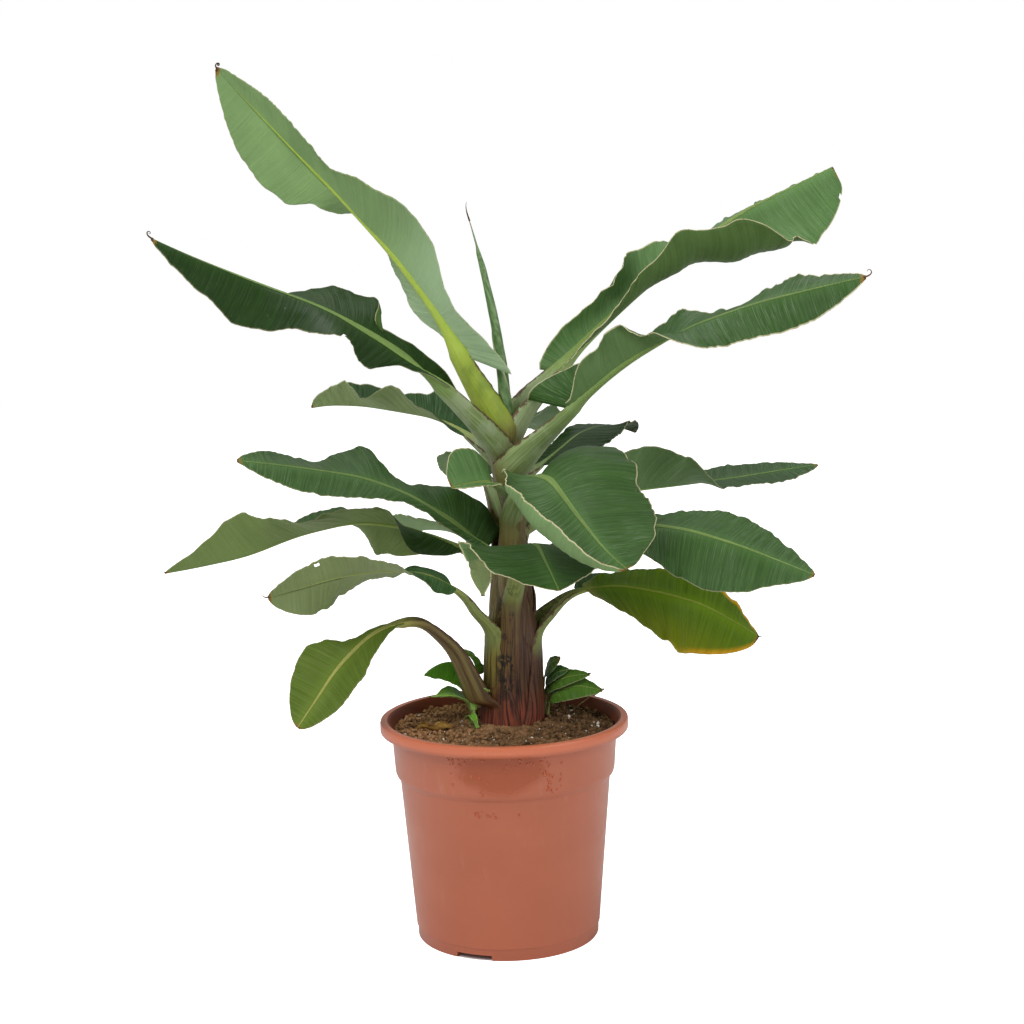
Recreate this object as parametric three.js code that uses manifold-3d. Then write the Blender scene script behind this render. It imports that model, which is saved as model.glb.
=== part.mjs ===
// Dwarf banana plant in a 24 cm nursery pot. Millimetres, +Z up.
// The origin is the middle of the pot's underside; -Y is the side the plant is seen from.
import * as THREE from 'three';
import { mergeVertices } from 'three/addons/utils/BufferGeometryUtils.js';
import Module from 'manifold-3d';

// ---------------------------------------------------------------- driving dimensions
const POT_HEIGHT = 215;
const RIM_RADIUS = 120;
const COLLAR_RADIUS = 109;       // straight band below the lip
const COLLAR_FOOT_Z = 163;      // where the band steps in to the tapering wall
const WALL_TOP_RADIUS = 102;
const WALL_FOOT_RADIUS = 89.5;
const WALL = 2.8;
const FOOT_HEIGHT = 11;          // foot ring and the disc in the middle of the base
const FOOT_DISC_RADIUS = 30;
const FOOT_NOTCHES = 3;
const NOTCH_WIDTH = 36;
const NOTCH_HEIGHT = 5.2;
const SOIL_EDGE_Z = 204;
const SOIL_TOP_Z = 207;
const GAP = 0.3;                 // clear space between pieces that touch
const BLADE_EDGE = 1.6;          // blade thickness at the margin
const BLADE_RIB = 3;             // and beside the midrib
const STALK_SIDES = 6;
const ROUND = 32;                // segments round the pot and the soil

// stem: [centre x, centre y, z, radius]
const STEM = [[8, 14, 207.3, 31], [9, 14, 260, 28], [10, 14, 320, 26], [11, 15, 365, 20], [15, 16, 400, 13], [13, 16, 435, 13], [9, 15, 470, 12]];

// A leaf grows from its foot on the stem for a length, first as a stalk and then
// as the midrib of the blade. rise and heading are its angles in degrees at even
// stations from foot to tip. The blade halves (left and right, looking outward) have
// a half width, a lift above the level, a curl toward the upper side and an ear that
// reaches back past the stalk's neck, at even stations from neck to tip.
const LEAVES = [
  { name: 'tall_left', foot: [5, 12, 490], length: 477, stalk: 0.18, root: 13, neck: 8,
    rise: [63, 61, 50, 44, 42, 43, 43], heading: [178, 160, 151, 152, 152, 151, 151],
    widthL: [20, 48, 52, 50, 50, 50, 50], widthR: [50, 45, 45, 48, 50, 48, 48], base: 0.6, earR: 35,
    liftL: [45, 52, 68, 65, 48, 48, 58, 60], liftR: [75, 20, 10, -5, -60, -65, -60, -45], ripple: 4, ripples: 3 },
  { name: 'high_left', foot: [5, 10, 470], length: 407, stalk: 0.24, root: 13, neck: 6,
    rise: [51, 43, 35, 30, 21, 23, 26], heading: [221, 215, 211, 209, 205, 203, 203],
    widthL: 46, widthR: 48,
    liftL: [-25, -60, -52, -30, -45, -65, -56, -50], liftR: [40, 55, 62, 35, 5, -5, -10, 0], ripple: 4, ripples: 3 },
  { name: 'back_left', foot: [0, 30, 460], length: 233, stalk: 0.2, root: 10, neck: 5,
    rise: [31, 28, 16, 6, 7, 1, -9], heading: [134, 136, 143, 149, 155, 162, 164],
    widthL: 45, widthR: 42,
    liftL: [10, 30, 40, 25, 50, 60], liftR: [45, 50, 50, 65, 60, 40], ripple: 3, ripples: 3 },
  { name: 'mid_left', foot: [5, -10, 370], length: 283, stalk: 0.08, root: 12, neck: 6,
    rise: [38, 38, 34, 23, 12, 10, 8], heading: [204, 202, 200, 198, 196, 195, 195],
    widthL: [14, 15, 15, 14, 24, 35, 41, 43, 44, 44, 44], widthR: [40, 42, 38, 24, 30, 58, 57, 55, 55, 55, 55],
    base: 0.9, earR: 14, liftL: [-50, -50, -45, -24, -22, -28, -34, -36, -36, -34, -28],
    liftR: [52, 56, 52, 34, 20, 28, 14, 6, 12, 18, 25], ripple: 3, ripples: 2 },
  { name: 'long_left', foot: [0, 15, 350], length: 374, stalk: 0.12, root: 11, neck: 5,
    rise: [45, 22, 6, -14, -22, -13, -11], heading: [174, 170, 165, 163, 162, 163, 163],
    widthL: [46, 46, 46, 50, 54], widthR: 44,
    liftL: [-55, -50, 35, 28, 20, 35, 65, 75, 70, 60], liftR: [20, 30, 40, 35, 20, 20, 30, 40], ripple: 2, ripples: 2 },
  { name: 'low_left', foot: [-10, -5, 280], length: 266, stalk: 0.3, root: 12, neck: 5,
    rise: [78, 59, 31, 8, -4, -12, -12], heading: [211, 209, 204, 202, 201, 198, 197],
    widthL: 40, widthR: 44, blunt: 0.5,
    liftL: [-35, -25, 0, 20, 35, 50, 50, 40], liftR: [30, 10, -15, -20, -35, -55, -75, -70] },
  { name: 'drooping_left', foot: [-20, -5, 225], length: 276, stalk: 0.48, root: 14, neck: 5,
    rise: [71, 66, 43, -15, -42, -55, -54], heading: [205, 202, 199, 197, 194, 192, 192],
    widthL: 32, widthR: 40, blunt: 0.5,
    liftL: [-10, -20, -35, -45, -35], liftR: [10, 20, 60, 60, 50] },
  { name: 'tall_right', foot: [5, 20, 485], length: 448, stalk: 0.2, root: 14, neck: 5,
    rise: [59, 40, 37, 35, 32, 23, 23], heading: [22, 21, 25, 24, 23, 19, 19],
    widthL: [35, 30, 32, 30, 22, 20, 20, 20], widthR: [20, 25, 40, 60, 95, 95, 85, 75], broad: 1, blunt: 0.3, base: 0.5, earL: 30,
    liftL: [50, 50, 50, 10, -10, -10, -10, -10], liftR: [20, 10, 10, -30, -80, -85, -70, -60],
    curlL: [0, 80, 110, 60, 0, 0, 0, 0], curlR: [0, 60, 90, 140, 170, 100, 20, 0], across: 3 },
  { name: 'high_right', foot: [10, 5, 455], length: 400, stalk: 0.24, root: 14, neck: 6,
    rise: [44, 40, 36, 28, 19, 13, 12], heading: [320, 332, 330, 332, 339, 340, 341],
    widthL: 44, widthR: 48, base: 0.5, earL: 50, earR: 10,
    liftL: [70, 30, 30, 30, 5, 15, 30, 30], liftR: [65, 55, 5, -18, -37, -52, -62, -55], ripple: 3, ripples: 3 },
  { name: 'back_right', foot: [15, 30, 440], length: 184, stalk: 0.2, root: 10, neck: 5,
    rise: [19, 20, 22, 21, 10, -10, -22], heading: [44, 46, 52, 52, 44, 35, 30],
    widthL: 52, widthR: 50,
    liftL: [-5, -15, -20, 0, 10], liftR: [10, 0, 0, 10, 30] },
  { name: 'mid_right', foot: [15, 25, 390], length: 345, stalk: 0.3, root: 10, neck: 5,
    rise: [21, 14, 6, 2, 4, 6, 6], heading: [41, 35, 23, 20, 16, 13, 13],
    widthL: 38, widthR: 46,
    liftL: [30, 30, 15, 10, 20, 20, 10], liftR: [60, 60, 40, 0, -5, -15, -15] },
  { name: 'broad_right', foot: [20, 0, 360], length: 302, stalk: 0.35, root: 10, neck: 5,
    rise: [35, 33, 6, -4, -15, -20, -21], heading: [341, 341, 337, 338, 340, 343, 344],
    widthL: 48, widthR: 54,
    liftL: [5, 10, 14, 20, 22, 18, 12], liftR: [-20, -30, -35, -45, -55, -50, -35, -35] },
  { name: 'low_right', foot: [30, 10, 275], length: 281, stalk: 0.3, root: 10, neck: 4,
    rise: [79, 46, 3, -13, -19, -31, -35], heading: [23, 15, 15, 16, 17, 15, 14],
    widthL: 42, widthR: 52, blunt: 0.45,
    liftL: [5, 15, 22, 30, 42, 40, 20], liftR: [-15, -28, -40, -50, -70, -80, -80, -75] },
  { name: 'front_right', foot: [10, 0, 405], length: 253, stalk: 0.3, root: 10, neck: 7,
    rise: [58, 49, 1, -21, -25, -32, -32], heading: [291, 296, 298, 290, 293, 304, 324],
    widthL: [85, 80, 78, 78], widthR: [56, 75, 78, 78], blunt: 0.45, broad: 0.9, base: 0.6, earR: 38, earL: 10,
    liftL: [35, 25, 5, 0, 0], liftR: [15, -30, -60, -60, -50], curlR: [0, 100, 165, 165, 120], across: 3 },
  { name: 'front_low', foot: [10, -10, 330], length: 188, stalk: 0.35, root: 10, neck: 6,
    rise: [55, 56, 52, 0, -12, -24, -35], heading: [288, 287, 300, 283, 278, 285, 290],
    widthL: [70, 66, 62], widthR: [70, 95, 90, 70], blunt: 0.45, broad: 0.9, base: 0.6,
    liftL: [-5, -10, -10, -10, -10], liftR: [-20, -15, -35, -30, -10], curlR: [0, 60, 120, 60, 0], across: 3 },
  { name: 'front_left', foot: [10, -5, 433], length: 78, stalk: 0.3, root: 10, neck: 6,
    rise: [40, 32, 16, 5, 0, -5, -8], heading: [232, 230, 226, 222, 220, 218, 218],
    widthL: 9, widthR: [32, 36, 36, 33], blunt: 0.5, base: 0.7, broad: 1,
    liftL: -20, liftR: [60, 62, 60, 58, 50] },
  { name: 'rear_right', foot: [15, 25, 375], length: 290, stalk: 0.25, root: 10, neck: 5,
    rise: [45, 30, 5, -12, -25, -35, -40], heading: [68, 68, 66, 64, 62, 60, 60],
    widthL: 42, widthR: 42, liftL: [25, 25, 15, 5, 0], liftR: [25, 25, 15, 5, 0] },
  { name: 'rear_left', foot: [0, 28, 340], length: 290, stalk: 0.25, root: 10, neck: 5,
    rise: [45, 25, 2, -6, -11, -16, -20], heading: [120, 120, 118, 116, 116, 116, 116],
    widthL: 40, widthR: 40, liftL: [30, 30, 25, 10, 0], liftR: [30, 30, 25, 10, 0] },
  { name: 'rear_low', foot: [25, 30, 290], length: 270, stalk: 0.28, root: 10, neck: 5,
    rise: [45, 25, 0, -12, -20, -28, -30], heading: [40, 38, 36, 33, 30, 30, 30],
    widthL: 36, widthR: 36, liftL: [20, 20, 10, 5, 0], liftR: [20, 20, 10, 5, 0] },
  { name: 'rear_high', foot: [10, 28, 450], length: 320, stalk: 0.25, root: 11, neck: 5,
    rise: [30, 20, 5, -5, -10, -12, -15], heading: [85, 85, 84, 82, 80, 80, 80],
    widthL: 36, widthR: 36, liftL: [35, 30, 20, 10, 10], liftR: [35, 30, 20, 10, 10] },
  { name: 'rear_mid', foot: [0, 28, 410], length: 300, stalk: 0.25, root: 11, neck: 5,
    rise: [30, 20, 5, -8, -12, -18, -20], heading: [102, 102, 100, 98, 97, 96, 96],
    widthL: 36, widthR: 36, liftL: [35, 30, 20, 10, 10], liftR: [35, 30, 20, 10, 10] },
];

// the newest leaf, still rolled: [x, y, z, radius]
const ROLLED_LEAF = [[8, 15, 505, 8], [6, 14, 545, 6.5], [-2, 14, 600, 5], [-11, 14, 645, 3.4], [-17, 14, 672, 1.6], [-23, 14, 692, 0.8]];

// young shoots round the foot of the stem
const SHOOTS = [
  { name: 'shoot_left', foot: [-34, 22, 198], length: 42, rise: [70, 55], heading: [170, 150], root: 8, neck: 4 },
  { name: 'shoot_right', foot: [50, 26, 198], length: 38, rise: [68, 60], heading: [20, 10], root: 7, neck: 4 },
];
const SHOOT_LEAVES = [
  { name: 'shoot_leaf_left_1', foot: [-44, 24, 236], length: 42, rise: [50, 12, -15], heading: [188, 184, 180], widthL: 11, widthR: 12, liftL: 5, liftR: 50 },
  { name: 'shoot_leaf_left_2', foot: [-32, 28, 240], length: 34, rise: [70, 55, 30], heading: [150, 160, 170], widthL: 9, widthR: 9, liftL: 20, liftR: 30 },
  { name: 'shoot_leaf_left_3', foot: [-42, 16, 214], length: 42, rise: [20, 2, -8], heading: [195, 192, 190], widthL: 8, widthR: 8, liftL: 10, liftR: 25 },
  { name: 'shoot_leaf_right_1', foot: [54, 30, 236], length: 36, rise: [60, 40, 10], heading: [30, 10, 0], widthL: 9, widthR: 9, liftL: 20, liftR: 10 },
  { name: 'shoot_leaf_right_2', foot: [60, 26, 228], length: 46, rise: [30, 12, -12], heading: [10, 5, 0], widthL: 8, widthR: 9, liftL: 25, liftR: 5 },
  { name: 'shoot_leaf_right_3', foot: [58, 20, 218], length: 52, rise: [20, 4, -8], heading: [355, 352, 350], widthL: 8, widthR: 9, liftL: 20, liftR: 0 },
];

// ---------------------------------------------------------------- shape of a leaf
const rad = THREE.MathUtils.degToRad;
const Z = new THREE.Vector3(0, 0, 1);

function station(v, t) {
  if (!Array.isArray(v)) return v ?? 0;
  const x = Math.min(Math.max(t, 0), 1) * (v.length - 1);
  const i = Math.min(Math.floor(x), v.length - 2);
  const k = x - i;
  return THREE.MathUtils.lerp(v[i], v[i + 1], k * k * (3 - 2 * k));
}

function growMidrib(leaf, steps = 120) {
  const points = [new THREE.Vector3(...leaf.foot)];
  for (let i = 0; i < steps; i++) {
    const f = (i + 0.5) / steps;
    const e = rad(station(leaf.rise, f)), h = rad(station(leaf.heading, f));
    const step = new THREE.Vector3(Math.cos(e) * Math.cos(h), Math.cos(e) * Math.sin(h), Math.sin(e));
    points.push(points[i].clone().addScaledVector(step, leaf.length / steps));
  }
  return points;
}
function along(points, f) {
  const x = Math.min(Math.max(f, 0), 1) * (points.length - 1);
  const i = Math.min(Math.floor(x), points.length - 2);
  return points[i].clone().lerp(points[i + 1], x - i);
}
function direction(points, f) {
  return along(points, Math.min(f + 0.01, 1)).sub(along(points, Math.max(f - 0.01, 0))).normalize();
}
function outline(leaf, s) {
  const x = s ** (leaf.broad ?? 0.8);
  const v = Math.max(0, Math.sin(Math.PI * x)) ** (leaf.blunt ?? 0.62);
  const base = leaf.base ?? 0.12;
  return x < 0.5 ? base + (1 - base) * v : v;
}
// point of the blade at s from neck to tip and u from -1 (left margin) to 1 (right margin)
function bladePoint(leaf, midrib, s, u) {
  const f = (leaf.stalk ?? 0.04) + (1 - (leaf.stalk ?? 0.04)) * s;
  const T = direction(midrib, f);
  const R = T.clone().cross(Z).normalize();
  const N = R.clone().cross(T);
  const side = u < 0 ? 'L' : 'R';
  const w = station(leaf['width' + side], s) * outline(leaf, s);
  const t = Math.abs(u) * w;
  const lift = rad(station(leaf['lift' + side], s)), curl = rad(station(leaf['curl' + side], s));
  let a = t * Math.cos(lift), b = t * Math.sin(lift);
  if (Math.abs(curl) > 1e-3) {
    const k = curl / w;
    a = (Math.sin(lift + k * t) - Math.sin(lift)) / k;
    b = -(Math.cos(lift + k * t) - Math.cos(lift)) / k;
  }
  const ripple = (leaf.ripple ?? 0) * u * u * Math.sin(Math.PI * s) * Math.sin(2 * Math.PI * (leaf.ripples ?? 0) * s + (u > 0 ? 1.3 : 0));
  const ear = station(leaf['ear' + side], s) * Math.abs(u) * Math.max(0, 1 - s / 0.3) ** 2;
  return along(midrib, f).addScaledVector(R, u < 0 ? -a : a).addScaledVector(N, b + ripple).addScaledVector(T, -ear);
}

// ---------------------------------------------------------------- closed meshes
function meshGeometry(points, triangles) {
  const g = new THREE.BufferGeometry();
  g.setAttribute('position', new THREE.Float32BufferAttribute(points.flatMap((p) => [p.x, p.y, p.z]), 3));
  g.setIndex(triangles.flat());
  return g;
}
// A thin closed blade: an upper and a lower sheet joined round the margin.
function bladeGeometry(leaf, { rows = 8, grow = 0 } = {}) {
  const across = leaf.across ?? 2;
  const midrib = growMidrib(leaf);
  const cols = 2 * across + 1;
  const upper = [], lower = [];
  for (let i = 0; i <= rows; i++) {
    const s = 0.985 * (i / rows);
    for (let j = 0; j < cols; j++) {
      const u = (j - across) / across;
      const p = bladePoint(leaf, midrib, s, u);
      const e = 0.01;
      const ds = bladePoint(leaf, midrib, Math.min(s + e, 1), u).sub(bladePoint(leaf, midrib, Math.max(s - e, 0), u));
      const du = bladePoint(leaf, midrib, s, Math.min(u + e, 1)).sub(bladePoint(leaf, midrib, s, Math.max(u - e, -1)));
      const n = du.cross(ds).normalize();
      const neck = leaf.neck ?? 1.5;
      const thick = (u === 0 ? Math.max(BLADE_RIB, 1.5 * neck * (1 - s)) : Math.abs(u) === 1 ? BLADE_EDGE : BLADE_RIB - 0.6) / 2 + grow;
      upper.push(p.clone().addScaledVector(n, Math.min(thick, BLADE_RIB / 2 + grow)));
      lower.push(p.clone().addScaledVector(n, -thick));
    }
  }
  const points = [...upper, ...lower], m = upper.length, tris = [];
  const quad = (a, b, c, d) => tris.push([a, b, c], [a, c, d]);
  const at = (i, j) => i * cols + j;
  for (let i = 0; i < rows; i++) {
    for (let j = 0; j < cols - 1; j++) {
      quad(at(i, j), at(i, j + 1), at(i + 1, j + 1), at(i + 1, j));
      quad(m + at(i, j), m + at(i + 1, j), m + at(i + 1, j + 1), m + at(i, j + 1));
    }
    quad(m + at(i, 0), at(i, 0), at(i + 1, 0), m + at(i + 1, 0));
    quad(at(i, cols - 1), m + at(i, cols - 1), m + at(i + 1, cols - 1), at(i + 1, cols - 1));
  }
  for (let j = 0; j < cols - 1; j++) {
    quad(at(0, j), m + at(0, j), m + at(0, j + 1), at(0, j + 1));
    quad(at(rows, j), at(rows, j + 1), m + at(rows, j + 1), m + at(rows, j));
  }
  return meshGeometry(points, tris);
}
// A closed tapering tube through rings of { centre, direction, radius, flat }.
function tubeGeometry(rings, sides) {
  const points = [], tris = [];
  for (const { centre, axis, radius, flat = 1 } of rings) {
    const R = Math.abs(axis.z) > 0.999 ? new THREE.Vector3(1, 0, 0) : axis.clone().cross(Z).normalize();
    const N = R.clone().cross(axis);
    for (let k = 0; k < sides; k++) {
      const a = (2 * Math.PI * k) / sides;
      points.push(centre.clone().addScaledVector(R, radius * Math.cos(a)).addScaledVector(N, radius * flat * Math.sin(a)));
    }
  }
  const ring = (i, k) => i * sides + (k % sides);
  for (let i = 0; i < rings.length - 1; i++)
    for (let k = 0; k < sides; k++)
      tris.push([ring(i, k), ring(i + 1, k), ring(i + 1, k + 1)], [ring(i, k), ring(i + 1, k + 1), ring(i, k + 1)]);
  const last = rings.length - 1;
  points.push(rings[0].centre.clone(), rings[last].centre.clone());
  for (let k = 0; k < sides; k++) {
    tris.push([points.length - 2, ring(0, k), ring(0, k + 1)]);
    tris.push([points.length - 1, ring(last, k + 1), ring(last, k)]);
  }
  return meshGeometry(points, tris);
}
function stalkGeometry(leaf, { grow = 0, from = 0, to = leaf.stalk ?? 1, rings = (to - from) * leaf.length > 70 ? 4 : 3, sides = STALK_SIDES } = {}) {
  const midrib = growMidrib(leaf);
  return tubeGeometry(Array.from({ length: rings + 1 }, (_, i) => {
    const t = i / rings, f = from + (to - from) * t - (i === rings ? GAP / leaf.length : 0);
    return { centre: along(midrib, f), axis: direction(midrib, f), radius: leaf.root + (leaf.neck - leaf.root) * t ** 0.7 + grow, flat: 0.8 };
  }), sides);
}
function limbGeometry(rows, sides, grow = 0) {
  const last = rows.length - 1;
  const centres = rows.map(([x, y, z], i) => new THREE.Vector3(x, y, z + (i === last ? grow : i === 0 ? -grow : 0)));
  return tubeGeometry(rows.map((r, i) => ({
    centre: centres[i], radius: r[3] + grow,
    axis: i === 0 || i === last ? Z.clone() : centres[i + 1].clone().sub(centres[i - 1]).normalize(),
  })), sides);
}
function revolve(profile, segments) {
  const g = new THREE.LatheGeometry(profile.map(([r, z]) => new THREE.Vector2(r, z)), segments);
  g.rotateX(Math.PI / 2);
  return g;
}

// ---------------------------------------------------------------- cutting
const wasm = await Module();
wasm.setup();
function toSolid(geometry) {
  const g = geometry.clone();
  g.deleteAttribute('normal');
  g.deleteAttribute('uv');
  const m = mergeVertices(g, 1e-4);
  const p = m.getAttribute('position').array, index = m.index.array, keep = [];
  for (let i = 0; i < index.length; i += 3)
    if (index[i] !== index[i + 1] && index[i + 1] !== index[i + 2] && index[i] !== index[i + 2]) keep.push(index[i], index[i + 1], index[i + 2]);
  return new wasm.Manifold(new wasm.Mesh({ numProp: 3, vertProperties: new Float32Array(p), triVerts: new Uint32Array(keep) }));
}
function fromSolid(solid) {
  const { numProp, vertProperties, triVerts } = solid.getMesh();
  const xyz = [];
  for (let i = 0; i < vertProperties.length; i += numProp) xyz.push(vertProperties[i], vertProperties[i + 1], vertProperties[i + 2]);
  const g = new THREE.BufferGeometry();
  g.setAttribute('position', new THREE.Float32BufferAttribute(xyz, 3));
  g.setIndex(Array.from(triVerts));
  return g;
}
function largestPiece(solid) {
  const pieces = solid.decompose();
  return pieces.reduce((a, b) => (b.volume() > a.volume() ? b : a));
}

// ---------------------------------------------------------------- pot and soil
const potProfile = [
  [0, 0], [FOOT_DISC_RADIUS, 0], [FOOT_DISC_RADIUS + 1, FOOT_HEIGHT], [WALL_FOOT_RADIUS - 9, FOOT_HEIGHT], [WALL_FOOT_RADIUS - 7.5, 0], [WALL_FOOT_RADIUS - 1.5, 0],
  [WALL_FOOT_RADIUS - 1, FOOT_HEIGHT], [WALL_FOOT_RADIUS, FOOT_HEIGHT + 3], [WALL_TOP_RADIUS, COLLAR_FOOT_Z - 5], [106, COLLAR_FOOT_Z + 2],
  [COLLAR_RADIUS, POT_HEIGHT - 13], [RIM_RADIUS - 2, POT_HEIGHT - 11], [RIM_RADIUS, POT_HEIGHT - 9.5], [RIM_RADIUS, POT_HEIGHT - 2], [RIM_RADIUS - 2, POT_HEIGHT],
  [RIM_RADIUS - 8, POT_HEIGHT], [COLLAR_RADIUS - WALL, POT_HEIGHT - 8], [106 - WALL, COLLAR_FOOT_Z + 2], [WALL_TOP_RADIUS - WALL, COLLAR_FOOT_Z - 5],
  [WALL_FOOT_RADIUS - WALL + 0.4, FOOT_HEIGHT + 6], [0, FOOT_HEIGHT + WALL],
];
let pot = toSolid(revolve(potProfile, ROUND));
for (let i = 0; i < FOOT_NOTCHES; i++) {
  const notch = new THREE.BoxGeometry(14, NOTCH_WIDTH, 2 * NOTCH_HEIGHT);
  notch.translate(WALL_FOOT_RADIUS - 3, 0, 0);
  notch.rotateZ(THREE.MathUtils.degToRad(248 + (i * 360) / FOOT_NOTCHES));
  pot = pot.subtract(toSolid(notch));
}
const soilProfile = [
  [0, FOOT_HEIGHT + 6.5], [WALL_FOOT_RADIUS - WALL - 1, FOOT_HEIGHT + 6.5], [WALL_TOP_RADIUS - WALL - 0.8, COLLAR_FOOT_Z - 5], [106 - WALL - 0.8, COLLAR_FOOT_Z + 2],
  [COLLAR_RADIUS - WALL - 1.2, SOIL_EDGE_Z], [60, SOIL_EDGE_Z + 2], [44, SOIL_TOP_Z], [0, SOIL_TOP_Z],
];
const soil = toSolid(revolve(soilProfile, ROUND));
const soilCutter = toSolid(revolve(soilProfile.map(([r, z]) => [r, z + (z > SOIL_EDGE_Z - 1 ? GAP : 0)]), ROUND));

// ---------------------------------------------------------------- assembly
const group = new THREE.Group();
function add(name, geometry, color, roughness = 0.6) {
  const mesh = new THREE.Mesh(geometry, new THREE.MeshStandardMaterial({ color, roughness, metalness: 0 }));
  mesh.name = name;
  group.add(mesh);
}
add('pot', fromSolid(pot), 0xb5694f, 0.35);
add('soil', fromSolid(soil), 0x4a3a2c, 0.95);
add('stem', limbGeometry(STEM, 12), 0x6f6a45, 0.6);

// Every piece is cut clear of the pieces before it. A leaf's own stalk is cut by its blade.
const cutters = [{ solid: soilCutter }, { solid: toSolid(limbGeometry(STEM, 12, GAP)) }];
function addCut(name, geometry, color, { grown = null, owner = null, own = [], roughness = 0.6 } = {}) {
  let solid = toSolid(geometry);
  for (const c of cutters) if (!owner || c.owner !== owner) solid = solid.subtract(c.solid);
  for (const o of own) solid = solid.subtract(toSolid(o));
  add(name, fromSolid(largestPiece(solid)), color, roughness);
  if (grown) cutters.push({ solid: toSolid(grown), owner });
}
for (const s of SHOOTS) addCut(s.name, stalkGeometry(s, { rings: 3 }), 0x7d8a45, { grown: stalkGeometry(s, { rings: 3, grow: GAP }) });
for (const leaf of LEAVES)
  addCut('stalk_' + leaf.name, stalkGeometry(leaf), 0x8f9a5a,
    { grown: stalkGeometry(leaf, { grow: GAP }), owner: leaf.name, own: [bladeGeometry(leaf, { grow: GAP }), bladeGeometry(leaf)] });
addCut('rolled_leaf', limbGeometry(ROLLED_LEAF, 8), 0x7d9a5a, { grown: limbGeometry(ROLLED_LEAF, 8, GAP) });
for (const leaf of LEAVES) addCut('leaf_' + leaf.name, bladeGeometry(leaf), 0x4f7a45, { owner: leaf.name, roughness: 0.5 });
for (const leaf of SHOOT_LEAVES) addCut(leaf.name, bladeGeometry(leaf, { rows: 3 }), 0x5b8547, { roughness: 0.5 });

export default group;
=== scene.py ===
"""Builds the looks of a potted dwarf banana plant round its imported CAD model."""
import math
import random

import bmesh
import bpy
from bpy.props import FloatProperty, FloatVectorProperty, IntProperty, PointerProperty
from mathutils import Euler, Matrix, Vector, noise


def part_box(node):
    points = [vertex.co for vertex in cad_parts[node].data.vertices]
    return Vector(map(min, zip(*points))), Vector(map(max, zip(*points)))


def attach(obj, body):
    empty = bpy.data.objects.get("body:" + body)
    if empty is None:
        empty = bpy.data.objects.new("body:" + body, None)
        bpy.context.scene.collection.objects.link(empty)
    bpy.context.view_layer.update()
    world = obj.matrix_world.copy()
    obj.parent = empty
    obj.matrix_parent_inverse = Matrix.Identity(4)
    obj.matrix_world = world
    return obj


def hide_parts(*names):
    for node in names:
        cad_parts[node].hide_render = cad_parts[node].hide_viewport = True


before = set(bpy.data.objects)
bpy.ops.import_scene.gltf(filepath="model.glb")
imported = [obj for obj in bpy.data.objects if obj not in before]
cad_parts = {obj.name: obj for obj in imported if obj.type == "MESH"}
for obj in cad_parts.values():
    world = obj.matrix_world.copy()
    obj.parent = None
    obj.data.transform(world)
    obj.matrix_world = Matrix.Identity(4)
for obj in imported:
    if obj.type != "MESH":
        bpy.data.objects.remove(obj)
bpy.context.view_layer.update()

bl_info = {
    "name": "Potted Dwarf Banana Plant",
    "version": (1, 0, 0),
    "blender": (4, 5, 0),
    "location": "View3D > Sidebar > Banana Plant",
    "description": "Builds a dwarf banana plant in a round plastic nursery pot",
    "category": "Add Mesh",
}

MM = 0.001                       # every length below is in millimetres until a mesh is finished
UP = Vector((0, 0, 1))
POT_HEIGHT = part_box("pot")[1].z / MM
RIM_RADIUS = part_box("pot")[1].x / MM
SHEATH_FOOT_Z = 198              # the lowest end of a sheath, just under the compost

# The stem and the rolled leaf: centre x, centre y, z, radius.
STEM = [(8, 14, 196, 32), (8, 14, 207, 31), (9, 14, 260, 28), (10, 14, 320, 26), (11, 15, 365, 20),
        (15, 16, 400, 13), (13, 16, 435, 13), (9, 15, 470, 12), (7, 14, 490, 10)]
ROLLED_LEAF = [
    (9, 15, 462, 8), (8, 15, 505, 6.6), (6, 14, 545, 5.6), (2, 14, 575, 4.9), (-2, 14, 600, 4.3),
    (-10, 14, 640, 3.1), (-14, 14, 657, 2.3), (-17, 14, 670, 0.9), (-23, 14, 692, 0.4)]


def even(width, lift):
    """Both halves of a blade alike."""
    return dict(widthL=width, widthR=width, liftL=lift, liftR=lift)


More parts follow.
